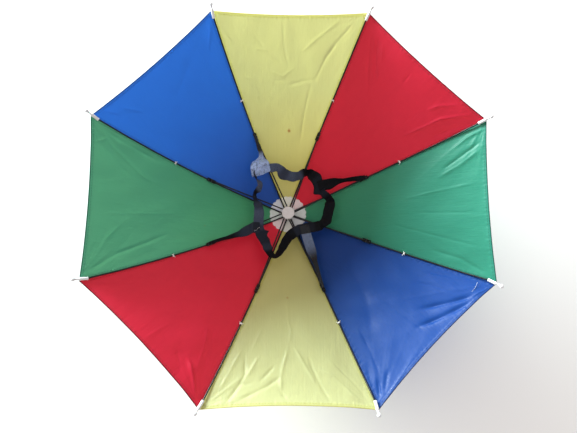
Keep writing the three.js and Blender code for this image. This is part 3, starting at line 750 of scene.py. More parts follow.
class Finish:
    """A material, with short ways to add nodes to it."""

    def __init__(self, name):
        self.material = bpy.data.materials.new(name)
        self.material.use_nodes = True
        self.nodes = self.material.node_tree.nodes
        self.shader = self.nodes["Principled BSDF"]

    def fill(self, node, inputs):
        """Gives a node's inputs their values: numbers, colours, or the outputs of other nodes."""
        for key, value in inputs.items():
            socket = node.inputs[key]
            if isinstance(value, bpy.types.NodeSocket):
                self.material.node_tree.links.new(value, socket)
            else:
                socket.default_value = (*value, 1) if socket.type == "RGBA" else value

    def node(self, kind, inputs, output=0, **settings):
        node = self.nodes.new("ShaderNode" + kind)
        for key, value in settings.items():
            setattr(node, key, value)
        self.fill(node, inputs)
        return node.outputs[output]

    def put(self, inputs):
        self.fill(self.shader, inputs)
        return self.material

    def maths(self, operation, *inputs):
        return self.node("Math", dict(enumerate(inputs)), operation=operation)

    def mix(self, factor, first, second, blend="MIX"):
        return self.node("Mix", {0: factor, 6: first, 7: second}, 2, data_type="RGBA", blend_type=blend)

    def noise(self, vector, scale, detail=3, roughness=0.5):
        inputs = {"Vector": vector, "Scale": scale, "Detail": detail, "Roughness": roughness}
        return self.node("TexNoise", inputs, "Fac")

    def stretched_noise(self, vector, scale, detail=3, roughness=0.5):
        """Noise whose grains are stretched: scale is how many lie in a millimetre along and across."""
        vector = self.node("Mapping", {"Vector": vector, "Scale": (*scale, 1)}, "Vector")
        return self.noise(vector, 1.0, detail, roughness)

    def remap(self, value, low, high, new_low, new_high):
        return self.node("MapRange", dict(enumerate((value, low, high, new_low, new_high))))

    def bump(self, height, distance, strength, before=None):
        inputs = {"Height": height, "Distance": distance, "Strength": strength}
        if before:
            inputs["Normal"] = before
        return self.node("Bump", inputs, "Normal")

    def attribute(self, name, output="Fac"):
        return self.node("Attribute", {}, output, attribute_name=name)

    def run(self, name):
        """An attribute's vector, with its parts along and across."""
        run = self.attribute(name, "Vector")
        along = self.node("SeparateXYZ", {0: run})
        return run, along, along.node.outputs[1]

    def place(self):
        return self.node("TexCoord", {}, "Object")

    def blend_with(self, second, share):
        """Mixes the shader with a second one."""
        mixed = self.node("MixShader", {0: share, 1: self.shader.outputs[0], 2: second})
        self.fill(self.nodes["Material Output"], {"Surface": mixed})


NYLON_ROUGHNESS = 0.42
NYLON_CLEAR = 0.46  # share of the light that the cloth lets by
THREAD_PITCH = 0.84  # of the nylon's weave, in millimetres


def nylon(name, dye, through, hem, edge, hub_shade):
    """Thin dyed nylon. Its face has the colour dye, and through colours the light that it lets by. Hem
    and edge tint it where it is folded over and along its cut edge, and the last colour darkens it
    near the hub, which is painted shade."""
    cloth = Finish(name)
    run, along, across = cloth.run("cloth_run")
    layers, spots, rim = (cloth.attribute(key) for key in ("layers", "spots", "rim"))
    streaks = cloth.stretched_noise(run, (0.006, 0.6), 4, 0.6)
    clouds = cloth.stretched_noise(run, (0.012, 0.02))
    tone = cloth.maths("ADD", cloth.maths("MULTIPLY", streaks, 0.14), cloth.maths("MULTIPLY", clouds, 0.16))
    # painted shade: the colour is darkened fully inside 70 mm from the hub, fading out by 210 mm
    hub_shading = cloth.mix(cloth.remap(along, 70, 210, 1, 0), (1.0, 1.0, 1.0), hub_shade)
    folded = cloth.mix(1.0, hub_shading, cloth.mix(layers, (1.0, 1.0, 1.0), hem), "MULTIPLY")
    tint = cloth.mix(rim, folded, edge)
    face = cloth.mix(1.0, cloth.mix(1.0, dye, cloth.maths("ADD", tone, 0.85), "MULTIPLY"), tint, "MULTIPLY")

    threads = 2 * math.pi / THREAD_PITCH
    warp = cloth.maths("SINE", cloth.maths("MULTIPLY", along, threads))
    weft = cloth.maths("SINE", cloth.maths("MULTIPLY", across, threads))
    crinkle = cloth.bump(cloth.stretched_noise(run, (0.05, 0.11), 5, 0.55), 0.0014, 0.35)
    soft = cloth.bump(cloth.stretched_noise(run, (0.02, 0.42), 3, 0.55), 0.0006, 0.35, crinkle)
    cloth.put({
        "Base Color": cloth.mix(spots, face, (0.36, 0.15, 0.04)),
        "Roughness": cloth.remap(clouds, 0.3, 0.7, NYLON_ROUGHNESS - 0.05, NYLON_ROUGHNESS + 0.06),
        "Specular IOR Level": 0.24, "Sheen Weight": 0.1, "Sheen Roughness": 0.4,
        "Normal": cloth.bump(cloth.maths("MULTIPLY", warp, weft), 0.00003, 0.25, soft),
    })
    passing = cloth.mix(spots, cloth.mix(1.0, through, tint, "MULTIPLY"), (0.5, 0.2, 0.06))
    cloth.blend_with(cloth.node("BsdfTranslucent", {"Color": passing, "Normal": soft}), NYLON_CLEAR)
    return cloth.material


def enamel():
    """Black enamel on wire, with worn and dusty places."""
    wire = Finish("black_enamel")
    place = wire.place()
    fine = wire.noise(place, 900, 4, 0.6)
    broad = wire.noise(place, 45)
    worn = wire.remap(fine, 0.66, 0.74, 0, 0.5)
    return wire.put({
        "Base Color": wire.mix(worn, (0.010, 0.010, 0.012), (0.09, 0.085, 0.08)),
        "Roughness": wire.remap(broad, 0.3, 0.7, 0.3, 0.5), "Metallic": 0.35,
        "Normal": wire.bump(fine, 0.0001, 0.25),
    })


def steel():
    """Bare steel of the rivets."""
    rivets = Finish("rivet_steel")
    scratches = rivets.noise(rivets.place(), 1500, 3, 0.6)
    return rivets.put({
        "Base Color": rivets.mix(scratches, (0.10, 0.10, 0.105), (0.22, 0.22, 0.22)),
        "Roughness": rivets.remap(scratches, 0.3, 0.7, 0.32, 0.5), "Metallic": 0.9,
    })


def plastic(name, light, dark, roughness):
    """Moulded plastic with faint flow marks and soft soiling."""
    moulded = Finish(name)
    place = moulded.place()
    soil = moulded.noise(place, 160, 5, 0.6)
    return moulded.put({
        "Base Color": moulded.mix(moulded.remap(soil, 0.35, 0.75, 0, 1), light, dark),
        "Roughness": moulded.remap(soil, 0.3, 0.7, roughness - 0.05, roughness + 0.08),
        "Subsurface Weight": 0.12, "Subsurface Radius": (0.002, 0.002, 0.002),
        "Normal": moulded.bump(moulded.noise(place, 2600, 2), 0.00004, 0.3),
    })


def film():
    """Thin cloudy film that lets some of the cloth's colour through."""
    sheet = Finish("cloudy_film")
    cloud = sheet.noise(sheet.place(), 110, 4, 0.6)
    sheet.put({
        "Base Color": sheet.mix(cloud, (0.99, 0.99, 1.0), (1.0, 1.0, 1.0)), "Roughness": 0.42,
        "Normal": sheet.bump(cloud, 0.0004, 0.3),
    })
    sheet.blend_with(sheet.node("BsdfTransparent", {}), sheet.remap(cloud, 0.3, 0.7, 0.46, 0.52))
    return sheet.material


def webbing(name, dark, light, grey_and_painted_sheen, marble, rib_pitch, roughness, gloss):
    """Woven strap: lengthwise ribs crossed by fine weft, from dark to light, and pale where its tone
    attribute is 1, in patches whose number per millimetre is marble. The pale colour is a painted sheen,
    and on the tape partly the tape's own grey."""
    strap = Finish(name)
    run, along, across = strap.run("strap_run")
    ribs = strap.maths("SINE", strap.maths("MULTIPLY", across, 2 * math.pi / rib_pitch))
    weft = strap.maths("SINE", strap.maths("MULTIPLY", along, 2 * math.pi / (rib_pitch * 0.7)))
    weave = strap.maths("ADD", ribs, strap.maths("MULTIPLY", weft, 0.5))
    fuzz = strap.stretched_noise(run, (0.5, 1.6), 4, 0.65)
    worn = strap.maths("MULTIPLY", fuzz, strap.stretched_noise(run, (0.04, 0.12)))
    light_share = strap.maths("ADD", strap.remap(weave, -1.5, 1.5, 0, 0.5),
                              strap.remap(worn, 0.15, 0.4, 0, 0.6))
    patches = strap.stretched_noise(run, (0.7 * marble, marble), 1)
    off_vein = strap.maths("ABSOLUTE", strap.maths("SUBTRACT", patches, 0.5))
    tone = strap.attribute("tone")
    vein = strap.maths("MULTIPLY", strap.remap(off_vein, 0.0, 0.04, 0.6, 0), tone)
    sheen_and_grey_share = strap.maths("MULTIPLY", tone, strap.maths("SUBTRACT", 1, vein))
    coarse = strap.bump(weave, 0.00016, 0.5)
    return strap.put({
        "Base Color": strap.mix(sheen_and_grey_share, strap.mix(light_share, dark, light), grey_and_painted_sheen),
        "Roughness": roughness, "Specular IOR Level": gloss,
        "Normal": strap.bump(fuzz, 0.0002, 0.25, coarse),
    })


def cotton(name, colour):
    """Sewing thread, twisted."""
    yarn = Finish(name)
    twist = yarn.noise(yarn.place(), 3200, 2)
    return yarn.put({
        "Base Color": yarn.mix(twist, tuple(0.72 * c for c in colour), colour), "Roughness": 0.7,
        "Sheen Weight": 0.2, "Normal": yarn.bump(twist, 0.0001, 0.4),
    })


def paper_floor():
    paper = Finish("pale_floor")
    tone = paper.noise(paper.place(), 3, 2)
    colour = paper.mix(tone, (0.91, 0.91, 0.91), (0.94, 0.94, 0.94))
    return paper.put({"Base Color": colour, "Roughness": 0.8})


# The last colour of each nylon is a painted shade that darkens it near the hub.
DYES = {
    "red": nylon("nylon_red", (0.44, 0.010, 0.042), (1.0, 0.22, 0.26), (0.97, 0.93, 0.93), (0.3, 0.3, 0.35),
                 (1.0, 0.85, 0.9)),
    "yellow": nylon("nylon_yellow", (0.48, 0.49, 0.265), (0.79, 0.77, 0.46), (1.0, 1.0, 0.86),
                    (1.0, 0.94, 0.6), (1.0, 0.92, 0.76)),
    "blue": nylon("nylon_blue", (0.010, 0.060, 0.27), (0.13, 0.33, 0.66), (0.95, 0.95, 0.95),
                  (0.3, 0.3, 0.35), (1.0, 0.8, 0.84)),
    "green": nylon("nylon_green", (0.028, 0.265, 0.19), (0.30, 0.50, 0.34), (0.95, 0.95, 0.98),
                   (0.25, 0.3, 0.3), (1.0, 1.0, 0.86)),
}
SEWING = {
    "red": cotton("thread_red", (0.4, 0.02, 0.03)),
    "yellow": cotton("thread_yellow", (0.6, 0.55, 0.2)),
    "blue": cotton("thread_blue", (0.02, 0.08, 0.35)),
    "green": cotton("thread_green", (0.03, 0.2, 0.1)),
}
ENAMEL = enamel()
STEEL = steel()
WHITE = plastic("white_plastic", (0.73, 0.74, 0.76), (0.62, 0.62, 0.63), 0.36)
RUNNER_WHITE = plastic("runner_plastic", (0.66, 0.62, 0.62), (0.56, 0.52, 0.51), 0.5)
FILM = film()
# The pale colour of each strap is a painted sheen, and on the tape partly its own grey.
ELASTIC = webbing("black_elastic", (0.002, 0.002, 0.003), (0.007, 0.007, 0.010), (0.10, 0.125, 0.2),
                  0.5, 1.1, 0.62, 0.09)
TAPE = webbing("grey_tape", (0.004, 0.005, 0.007), (0.012, 0.015, 0.02), (0.36, 0.47, 0.76),
               0.2, 0.5, 0.36, 0.3)
WHITE_THREAD = cotton("thread_white", (0.95, 0.93, 0.9))
# Black thread for a painted shadow beside the loose white strand.
SHADOW_THREAD = cotton("thread_painted_shadow", (0.03, 0.03, 0.035))
OCHRE_THREAD = cotton("thread_ochre", (0.5, 0.33, 0.1))


# Canopy

def make_gore(gore):
    row = GORES[gore]
    share, across = gore_grid(gore)
    inner, normal = gore_surface(gore, share, across)
    layers = folded_over(gore, share, across)
    outer = inner - normal * (WALL + DOUBLED * layers)[..., None]
    piece = piece_from("canopy_" + row.name, wall_between(inner, outer), DYES[row.dye],
                       "panel_" + row.name)

    spots = np.zeros(share.shape)
    for place, pixel, radius, strength in SPOTS:
        if place == gore:
            x, y = place_of(pixel)
            distance = np.hypot(inner[..., 0] - x, inner[..., 1] - y)
            spots += strength * (1 - smooth(radius * 0.4, radius * 1.3, distance))
    rim = 1 - smooth(*CUT_EDGE, hem_distance(gore, share, across))
    for name, values in (("layers", layers), ("spots", spots), ("rim", rim)):
        add_attribute(piece, name, np.tile(values.reshape(-1), 2))
    apart = np.full(share.shape, PATTERN_SHIFT * gore)
    run = np.stack([share * CANOPY_RADIUS, across * half_width(share), apart], axis=-1)
    add_attribute(piece, "cloth_run", np.tile(run.reshape(-1, 3), (2, 1)))


def make_sewing(gore):
    """Stitches of a gore's hem and seams, on both faces of the cloth."""
    row = GORES[gore]
    hem_share = 1 - (HEM_WIDTH - HEM_STITCHES) / hem_distance(gore, np.zeros(1), np.zeros(1))[0]
    half_hem = CANOPY_RADIUS * math.sin(HALF_GORE)
    count = int(2 * (half_hem - HEM_UNSEWN) / STITCH_PITCH)
    across = np.linspace(-1, 1, count) * (1 - HEM_UNSEWN / half_hem)
    parts = sewn_line(gore, np.full(count, hem_share), across, 1)
    count = int((CANOPY_RADIUS - 40) / STITCH_PITCH)
    share = np.linspace(SEAM_SEWN_FROM, 1 - SEAM_UNSEWN / CANOPY_RADIUS, count)
    for side in (-1, 1):
        parts += sewn_line(gore, share, side * (1 - (SEAM_WIDTH - SEAM_STITCHES) / half_width(share)), 0)
    piece_from("sewing_" + row.name, joined(parts), SEWING[row.dye])


def sewn_line(gore, share, across, direction):
    """Stitches along a line on a gore, on its inner and its outer face."""
    places, normal = gore_surface(gore, share, across)
    along = gore_axes(gore, share, across)[direction]
    along = unit(along - normal * np.sum(along * normal, axis=-1, keepdims=True))
    under = places - normal * (WALL + DOUBLED)
    return stitches(places, along, normal) + stitches(under, along, -normal)


# Frame

def rib_lift(radius):
    room = ROSETTE_THICKNESS + ROSETTE_GAP
    hub = room * (1 - smooth(ROSETTE_RADIUS, ROSETTE_RADIUS + ROSETTE_RUN, radius))
    tip = TIP_ROOM * smooth(TIP_START - TIP_RISE, TIP_START - TIP_OVERLAP, radius)
    return RIB_RADIUS + CLOTH_GAP + hub + tip


def rib_points(rib, radius):
    return over_seam(rib, radius, rib_lift(np.asarray(radius, float)))


def rib_axes(rib, radius):
    """Axes at a rib: along it, sideways, and square to the cloth."""
    radius = np.asarray(radius, float)
    along = unit(rib_points(rib, radius + 1) - rib_points(rib, radius - 1))
    sideways = unit(np.cross((0, 0, 1), along))
    return along, sideways, np.cross(along, sideways)


def make_rib(rib):
    last = TIP_START + TIP_OVERLAP * math.cos(cloth_tilt(TIP_START))
    radius = np.linspace(WIRE_START, last, 96)
    _, sideways, normal = rib_axes(rib, radius)
    pressed = np.exp(-(((radius - JOINT_RADIUS) / 6) ** 4))
    wide = RIB_RADIUS * (1 + 0.18 * pressed)
    high = RIB_RADIUS * (1 - 0.2 * pressed)
    wide[[0, -1]] *= 0.7
    high[[0, -1]] *= 0.7
    shape = sweep(rib_points(rib, radius), sideways, normal, wide, high, 12)
    piece_from(f"wire_rib_{rib + 1}", shape, ENAMEL, f"rib_{rib + 1}")


JOINT_FLOOR = RIB_RADIUS + CLOTH_GAP
STRETCHER_SEAT = JOINT_FLOOR + JOINT_WEB + PIN_GAP + STRETCHER_RADIUS
JOINT_TOP = STRETCHER_SEAT + STRETCHER_RADIUS + FIT_GAP
JOINT_SLOT = RIB_RADIUS + CLOTH_GAP


def stretcher_line(rib):
    """Start and end of a stretcher, and its direction."""
    start = turned_about_up(np.array([WIRE_START, STRETCHER_SHIFT, STRETCHER_ROOT]), rib_angle(rib))
    normal = rib_axes(rib, JOINT_RADIUS)[2]
    end = rib_points(rib, JOINT_RADIUS) + normal * STRETCHER_SEAT
    direction = unit(end - start)
    return start, end + direction * STRETCHER_PAST, direction


def make_stretcher(rib):
    start, end, direction = stretcher_line(rib)
    run = np.linspace(0, 1, 60)
    centres = start + (end - start) * run[:, None]
    side = np.tile(unit(np.cross((0, 0, 1), direction)), (len(run), 1))
    up = np.cross(np.tile(direction, (len(run), 1)), side)
    flat = smooth(0.9, 0.97, run) + 1 - smooth(0.02, 0.07, run)
    wide = STRETCHER_RADIUS * (1 - 0.25 * flat)
    high = STRETCHER_RADIUS * (1 + 0.12 * flat)
    wide[[0, -1]] *= 0.6
    high[[0, -1]] *= 0.7
    shape = sweep(centres, side, up, wide, high, 14)
    piece_from(f"wire_stretcher_{rib + 1}", shape, ENAMEL, f"stretcher_{rib + 1}")


def rivet(origin, axis, half_length, radius):
    """A rivet with domed heads."""
    axis = unit(np.asarray(axis, float))
    first = unit(np.cross(axis, (0.3, 0.2, 0.9)))
    head = [(0, -half_length - 0.55), (0.5 * radius, -half_length - 0.5),
            (0.86 * radius, -half_length - 0.3), (radius, -half_length),
            (0.55 * radius, -half_length + 0.01)]
    tail = [(r, -h) for r, h in reversed(head)]
    return lathe(head + tail, 16, [first, np.cross(axis, first), axis], origin)


def make_joint(rib):
    """A pressed channel that holds a rib below and a stretcher above, with its pivot pin."""
    inner, outer = JOINT_SLOT, JOINT_SLOT + JOINT_WALL
    shelf = JOINT_FLOOR + JOINT_WEB
    right = [(inner, JOINT_FLOOR), (inner, -JOINT_SKIRT), (outer, -JOINT_SKIRT), (outer, JOINT_TOP),
             (inner, JOINT_TOP), (inner, shelf)]
    outline = right + [(-x, y) for x, y in reversed(right)]
    middle = rib_points(rib, JOINT_RADIUS)
    along, sideways, normal = rib_axes(rib, JOINT_RADIUS)
    half = JOINT_LENGTH / 2
    points = [middle + sideways * x + normal * y + along * z for z in (-half, half) for x, y in outline]
    size = len(outline)
    faces = [tuple(range(size)), tuple(range(2 * size - 1, size - 1, -1))]
    faces += [(i, (i + 1) % size, size + (i + 1) % size, size + i) for i in range(size)]
    piece = piece_from(f"channel_joint_{rib + 1}", (points, faces), ENAMEL,
                       f"rib_joint_{rib + 1}")
    shape_mesh(piece.data, lambda shaper: bmesh.ops.bevel(shaper, geom=shaper.edges[:], offset=0.16 * MM,
                                                          segments=2, affect="EDGES"))

    pins = [(STRETCHER_SEAT, 0, 1.25)] + [(JOINT_FLOOR + JOINT_WEB / 2, z, 0.9) for z in (-4.6, 4.6)]
    parts = [rivet(middle + normal * y + along * z, sideways, outer + 0.02, radius) for y, z, radius in pins]
    piece_from(f"rivets_{rib + 1}", joined(parts), STEEL)


def make_tip(rib):
    """A white tip: a sleeve with a lip and a sewing hole's collar, a neck and a ball."""
    middle = TIP_START + (TIP_OVERLAP / 2) * math.cos(cloth_tilt(TIP_START))
    along, sideways, normal = rib_axes(rib, middle)
    skew = Matrix.Rotation(math.radians(TIP_SKEWS[rib]), 3, Vector(normal))
    axis = np.array(skew @ Vector(along))
    side = np.array(skew @ Vector(sideways))
    bore = TIP_OVERLAP + 1
    ball = TIP_LENGTH - BALL_RADIUS
    outline = [(TIP_BORE, 0), (SLEEVE_RADIUS - 0.15, 0), (SLEEVE_RADIUS, 0.5), (SLEEVE_RADIUS, 1.5),
               (SLEEVE_RADIUS - 0.22, 2.0), (SLEEVE_RADIUS - 0.3, SLEEVE_LENGTH - 3.5),
               (SLEEVE_RADIUS - 0.1, SLEEVE_LENGTH - 2.4), (SLEEVE_RADIUS - 0.1, SLEEVE_LENGTH - 0.8),
               (NECK_RADIUS + 0.1, SLEEVE_LENGTH + 1.4), (NECK_RADIUS, ball - 1.9)]
    turns = np.radians(range(-52, 90, 12))
    round_end = zip(BALL_RADIUS * np.cos(turns), ball + BALL_RADIUS * np.sin(turns))
    profile = [(0, bore), (TIP_BORE, bore), *rounded(outline, 0.5, 3), *round_end, (0, TIP_LENGTH)]
    origin = rib_points(rib, middle) - axis * (TIP_OVERLAP / 2)
    shape = lathe(profile, 28, (side, normal, axis), origin)
    piece_from(f"tip_{rib + 1}", shape, WHITE, f"rib_tip_{rib + 1}")


# Hub

BORE_RADIUS = POST_RADIUS + FIT_GAP
NOTCH_FLOOR = (cloth_height(CORE_RADIUS / math.cos(HALF_GORE))
               + ROSETTE_GAP + ROSETTE_THICKNESS + FIT_GAP)
NOTCH_SHELF = float(rib_points(0, NOTCH_RADIUS)[2]) + RIB_RADIUS + CLOTH_GAP
NOTCH_TOP = NOTCH_SHELF + NOTCH_PLATE
RUNNER_SHELF = (STRETCHER_ROOT + stretcher_line(0)[2][2] * (RUNNER_RADIUS - CORE_RADIUS)
                + STRETCHER_RADIUS + CLOTH_GAP)
RUNNER_TOP = RUNNER_SHELF + RUNNER_PLATE


def make_hub():
    rim = CAP_HEIGHT + CROWN_SLOPE * (CAP_RADIUS - BORE_RADIUS)
    cap = [(0, 0), (CAP_FOOT, 0), (CAP_RADIUS - 1, CAP_HEIGHT / 3), (CAP_RADIUS, 2 * CAP_HEIGHT / 3),
           (CAP_RADIUS, rim), (BORE_RADIUS, CAP_HEIGHT), (0, CAP_HEIGHT)]
    turned_piece("cap", rounded(cap, 0.6), 64, WHITE, "crown_cap")
    floor = CAP_HEIGHT + FIT_GAP
    post = [(0, floor), (POST_RADIUS, floor), (POST_RADIUS, RUNNER_SHELF), (0, RUNNER_SHELF)]
    turned_piece("post", rounded(post, 0.3), 40, WHITE, "centre_post")
    notch = [(BORE_RADIUS, NOTCH_FLOOR), (CORE_RADIUS, NOTCH_FLOOR), (CORE_RADIUS, NOTCH_SHELF),
             (NOTCH_RADIUS, NOTCH_SHELF), (NOTCH_RADIUS, NOTCH_TOP), (BORE_RADIUS, NOTCH_TOP)]
    turned_piece("notch", rounded(notch, 0.35), 64, WHITE, "rib_notch")
    foot = NOTCH_TOP + FIT_GAP
    step = STRETCHER_ROOT - STRETCHER_RADIUS - 2 * FIT_GAP
    bore_top = RUNNER_SHELF + FIT_GAP
    face, dimple = RUNNER_TOP - 0.18, RUNNER_TOP - 0.4
    runner = [(0, bore_top), (BORE_RADIUS, bore_top), (BORE_RADIUS, foot), (RUNNER_FOOT, foot),
              (RUNNER_FOOT, step), (CORE_RADIUS, step), (CORE_RADIUS, RUNNER_SHELF),
              (RUNNER_RADIUS, RUNNER_SHELF), (RUNNER_RADIUS, RUNNER_TOP), (RUNNER_RADIUS - 1.1, RUNNER_TOP),
              (RUNNER_RADIUS - 1.5, face), (2.0, face), (1.5, dimple), (0, dimple)]
    turned_piece("runner_disc", rounded(runner, 0.5), 64, RUNNER_WHITE, "runner")


def turned_piece(name, profile, segments, material, node):
    piece_from(name, lathe(profile, segments), material, node)


def make_rosette():
    """The scalloped film under the ribs, slightly lifted and wavy between them."""
    angle = turns_of(SCALLOP_COUNT * 8)
    share = np.linspace(0, 1, 14)[:, None]
    lobe = np.abs(np.sin(angle * SCALLOP_COUNT / 2)) ** 0.7
    edge = ROSETTE_RADIUS - SCALLOP_DEPTH * (1 - lobe)
    radius = BORE_RADIUS + (edge - BORE_RADIUS) * share
    x, y = radius * np.cos(angle), radius * np.sin(angle)
    height = facet_height(x, y) + ROSETTE_GAP + 0.06 * share ** 2 * np.sin(angle * RIB_COUNT + 0.7)
    top, bottom = (np.stack([x, y, height + lift], axis=-1)
                   for lift in (ROSETTE_THICKNESS, ROSETTE_THICKNESS - FILM_THICKNESS))
    piece_from("film_rosette", wall_between(top, bottom, close=True), FILM, "rosette")


# Straps

def band_point(row):
    """The band's middle line in plan: a closed centripetal Catmull-Rom curve through BAND."""
    count = len(BAND)
    first = int(math.floor(row))
    t = row - first
    p = [Vector((BAND[(first + i) % count][0], BAND[(first + i) % count][1], 0)) * BAND_SPAN
         for i in (-1, 0, 1, 2)]
    d = [math.sqrt((p[i + 1] - p[i]).length) for i in range(3)]
    m1 = ((p[1] - p[0]) / d[0] - (p[2] - p[0]) / (d[0] + d[1]) + (p[2] - p[1]) / d[1]) * d[1]
    m2 = ((p[2] - p[1]) / d[1] - (p[3] - p[1]) / (d[1] + d[2]) + (p[3] - p[2]) / d[2]) * d[1]
    return ((2 * t ** 3 - 3 * t ** 2 + 1) * p[1] + (t ** 3 - 2 * t ** 2 + t) * m1
            + (-2 * t ** 3 + 3 * t ** 2) * p[2] + (t ** 3 - t ** 2) * m2)


def band_outward(row):
    tangent = band_point(row + 0.004) - band_point(row - 0.004)
    return Vector((-tangent.y, tangent.x, 0)).normalized()


STRETCHER_ZERO = stretcher_line(0)


def rest_height(radius):
    """What a strap lies on: the stretchers, and the joints at their ends."""
    end = STRETCHER_ZERO[1]
    slope = (end[2] - STRETCHER_ROOT) / (math.hypot(end[0], end[1]) - WIRE_START)
    wire = STRETCHER_ROOT + slope * (radius - WIRE_START) + STRETCHER_RADIUS / math.cos(math.atan(slope))
    rise = JOINT_TOP - STRETCHER_SEAT
    return wire + rise * float(smooth(JOINT_RADIUS - JOINT_LENGTH, JOINT_RADIUS - JOINT_LENGTH / 2, radius))


def strap_axes(outward, lean):
    c, s = math.cos(math.radians(lean)), math.sin(math.radians(lean))
    return outward * c + UP * s, outward * -s + UP * c


def band_value(row, column):
    """A value of BAND between its rows."""
    low = int(math.floor(row))
    share = float(smooth(0.2, 0.8, row - low))
    return BAND[low % len(BAND)][column] * (1 - share) + BAND[(low + 1) % len(BAND)][column] * share


def strap_middle(x, y, outward, lean, width, thickness, lowest=0.0):
    """The middle of a strap's section, as low as the stretchers let it lie."""
    wide, thin = strap_axes(outward, lean)
    height = 0.0
    for w in (-1, 1):
        for t in (-1, 1):
            offset = wide * (w * width / 2) + thin * (t * thickness / 2)
            height = max(height, rest_height(math.hypot(x + offset.x, y + offset.y)) - offset.z)
    return Vector((x, y, max(height + STRAP_GAP, lowest))), wide, thin


PROFILE_SHARES = (-1, -0.97, *np.linspace(-0.92, 0.92, 19), 0.97, 1)


class Strap:
    """A flat strap, made section by section. A section is its middle and the directions of its width
    and its thickness."""

    def __init__(self):
        self.rings, self.runs, self.tones, self.widths = [], [], [], []
        self.length = 0.0
        self.last = None

    def go_to(self, middle):
        self.length += (middle - self.last).length if self.last else 0.0
        self.last = middle

    def add(self, section, width, thickness, tone, relief, reach=None):
        """Adds a ring of points: relief and reach push its points out of its face and along it."""
        middle, wide, thin = section
        ring = []
        for t, shares in ((1, PROFILE_SHARES), (-1, PROFILE_SHARES[-2:0:-1])):
            for w in shares:
                edge = math.sqrt(max(0.0, 1 - abs(w) ** 10))
                aside = w * width / 2 + (reach(w) if reach else 0.0)
                ring.append(middle + wide * aside + thin * (t * edge * thickness / 2 + relief(w)))
                self.runs.append((self.length, w * width / 2, 0))
        self.rings.append(ring)
        self.tones += [tone] * len(ring)
        self.widths.append(width)

    def piece(self, name, closed, material, slot, node):
        size, count = len(self.rings[0]), len(self.rings)
        faces = quads_of(count, size, close=True)
        if closed:
            last = (count - 1) * size
            faces += [(last + j, last + (j + 1) % size, (j + 1) % size, j) for j in range(size)]
        else:
            top = len(PROFILE_SHARES)
            for start in (0, (count - 1) * size):
                ring = [start + j for j in range(size)]
                under = [ring[0]] + ring[:top - 1:-1] + [ring[top - 1]]
                faces += [(ring[j], ring[j + 1], under[j + 1], under[j]) for j in range(1, top - 2)]
                faces += [(ring[0], ring[1], under[1]), (ring[top - 2], ring[top - 1], under[top - 2])]
        points = [tuple(p) for ring in self.rings for p in ring]
        piece = piece_from(name, (points, faces), material, node)
        add_attribute(piece, "strap_run", self.runs)
        add_attribute(piece, "tone", self.tones)
        return piece


def make_band():
    strap = Strap()
    for i in range(BAND_STATIONS):
        row = i * len(BAND) / BAND_STATIONS
        point = band_point(row)
        section = strap_middle(point.x, point.y, band_outward(row), band_value(row, LEAN), BAND_WIDTH,
                               BAND_THICKNESS)
        strap.go_to(section[0])
        wobble = 0.35 * math.sin(strap.length / 9.0) + 0.2 * math.sin(strap.length / 4.1 + 1)

        def relief(w, row=row, wobble=wobble):
            total = wobble * w * w * 0.5 + 0.3 * (1 - w * w)
            for place, slant, height in BAND_FOLDS:
                total += 0.9 * height * math.exp(-(((row - place - slant * w * 0.5) / 0.17) ** 2))
            return total

        def reach(w, row=row):
            return sum(edge * size * max(0.0, 1 - abs(row - place) / 0.6) * float(smooth(0, 1, w * edge))
                       for place, edge, size in BAND_CORNERS)

        strap.add(section, BAND_WIDTH, BAND_THICKNESS, band_value(row, PAINTED_SHEEN), relief, reach)
    piece = strap.piece("elastic_band", True, ELASTIC, "black_elastic", "head_band")


def tether_sections(tether):
    """Sections of a tether: sewn over the band's outer half, and from its edge to the top of its joint."""
    outward = band_outward(tether.row)
    point = band_point(tether.row)
    middle, wide, thin = strap_middle(point.x, point.y, outward, band_value(tether.row, LEAN), BAND_WIDTH,
                                      BAND_THICKNESS)
    lift = thin * ((BAND_THICKNESS + TETHER_THICKNESS) / 2 + 0.35)
    start = middle + wide * (BAND_WIDTH / 2 + JOIN_GAP)
    end = Vector(stretcher_line(tether.rib)[1])
    run = Vector((end.x - start.x, end.y - start.y, 0))
    square = Vector((-run.y, run.x, 0)).normalized()
    along_band = Matrix.Rotation(math.pi / 2, 3, "Z") @ outward
    for reach in np.linspace(BAND_WIDTH / 2 - tether.sewn, BAND_WIDTH / 2 - 0.8, 14):
        yield 0.0, (middle + wide * float(reach) + lift + along_band * tether.shift, along_band, thin)
    for share in (i / TETHER_STATIONS for i in range(TETHER_STATIONS + 1)):
        def from_to(low, high):
            return float(smooth(low, high, share))

        lean = tether.lean * from_to(0, 0.5) + (LEAN_END - tether.lean) * from_to(0.5, 1)
        side = along_band.lerp(square, from_to(0, TETHER_SQUARE)).normalized()
        lowest = start.z * (1 - from_to(0, TETHER_DROP))
        x, y = start.x + run.x * share, start.y + run.y * share
        place, wide_axis, thin_axis = strap_middle(x, y, side, lean, TETHER_WIDTH, TETHER_THICKNESS, lowest)
        on_band = 1 - from_to(0, 0.14)
        place = place + lift * on_band + along_band * (tether.shift * (1 - from_to(*tether.hold)))
        yield share, (place, wide_axis.lerp(along_band, on_band).normalized(),
                      thin_axis.lerp(thin, on_band).normalized())


SEWN_TETHER = "tether_3"  # its join shows a line of white stitches
JOIN_LINE = (0.45, 0.85)  # where that line starts and ends along the band, as shares of the tether


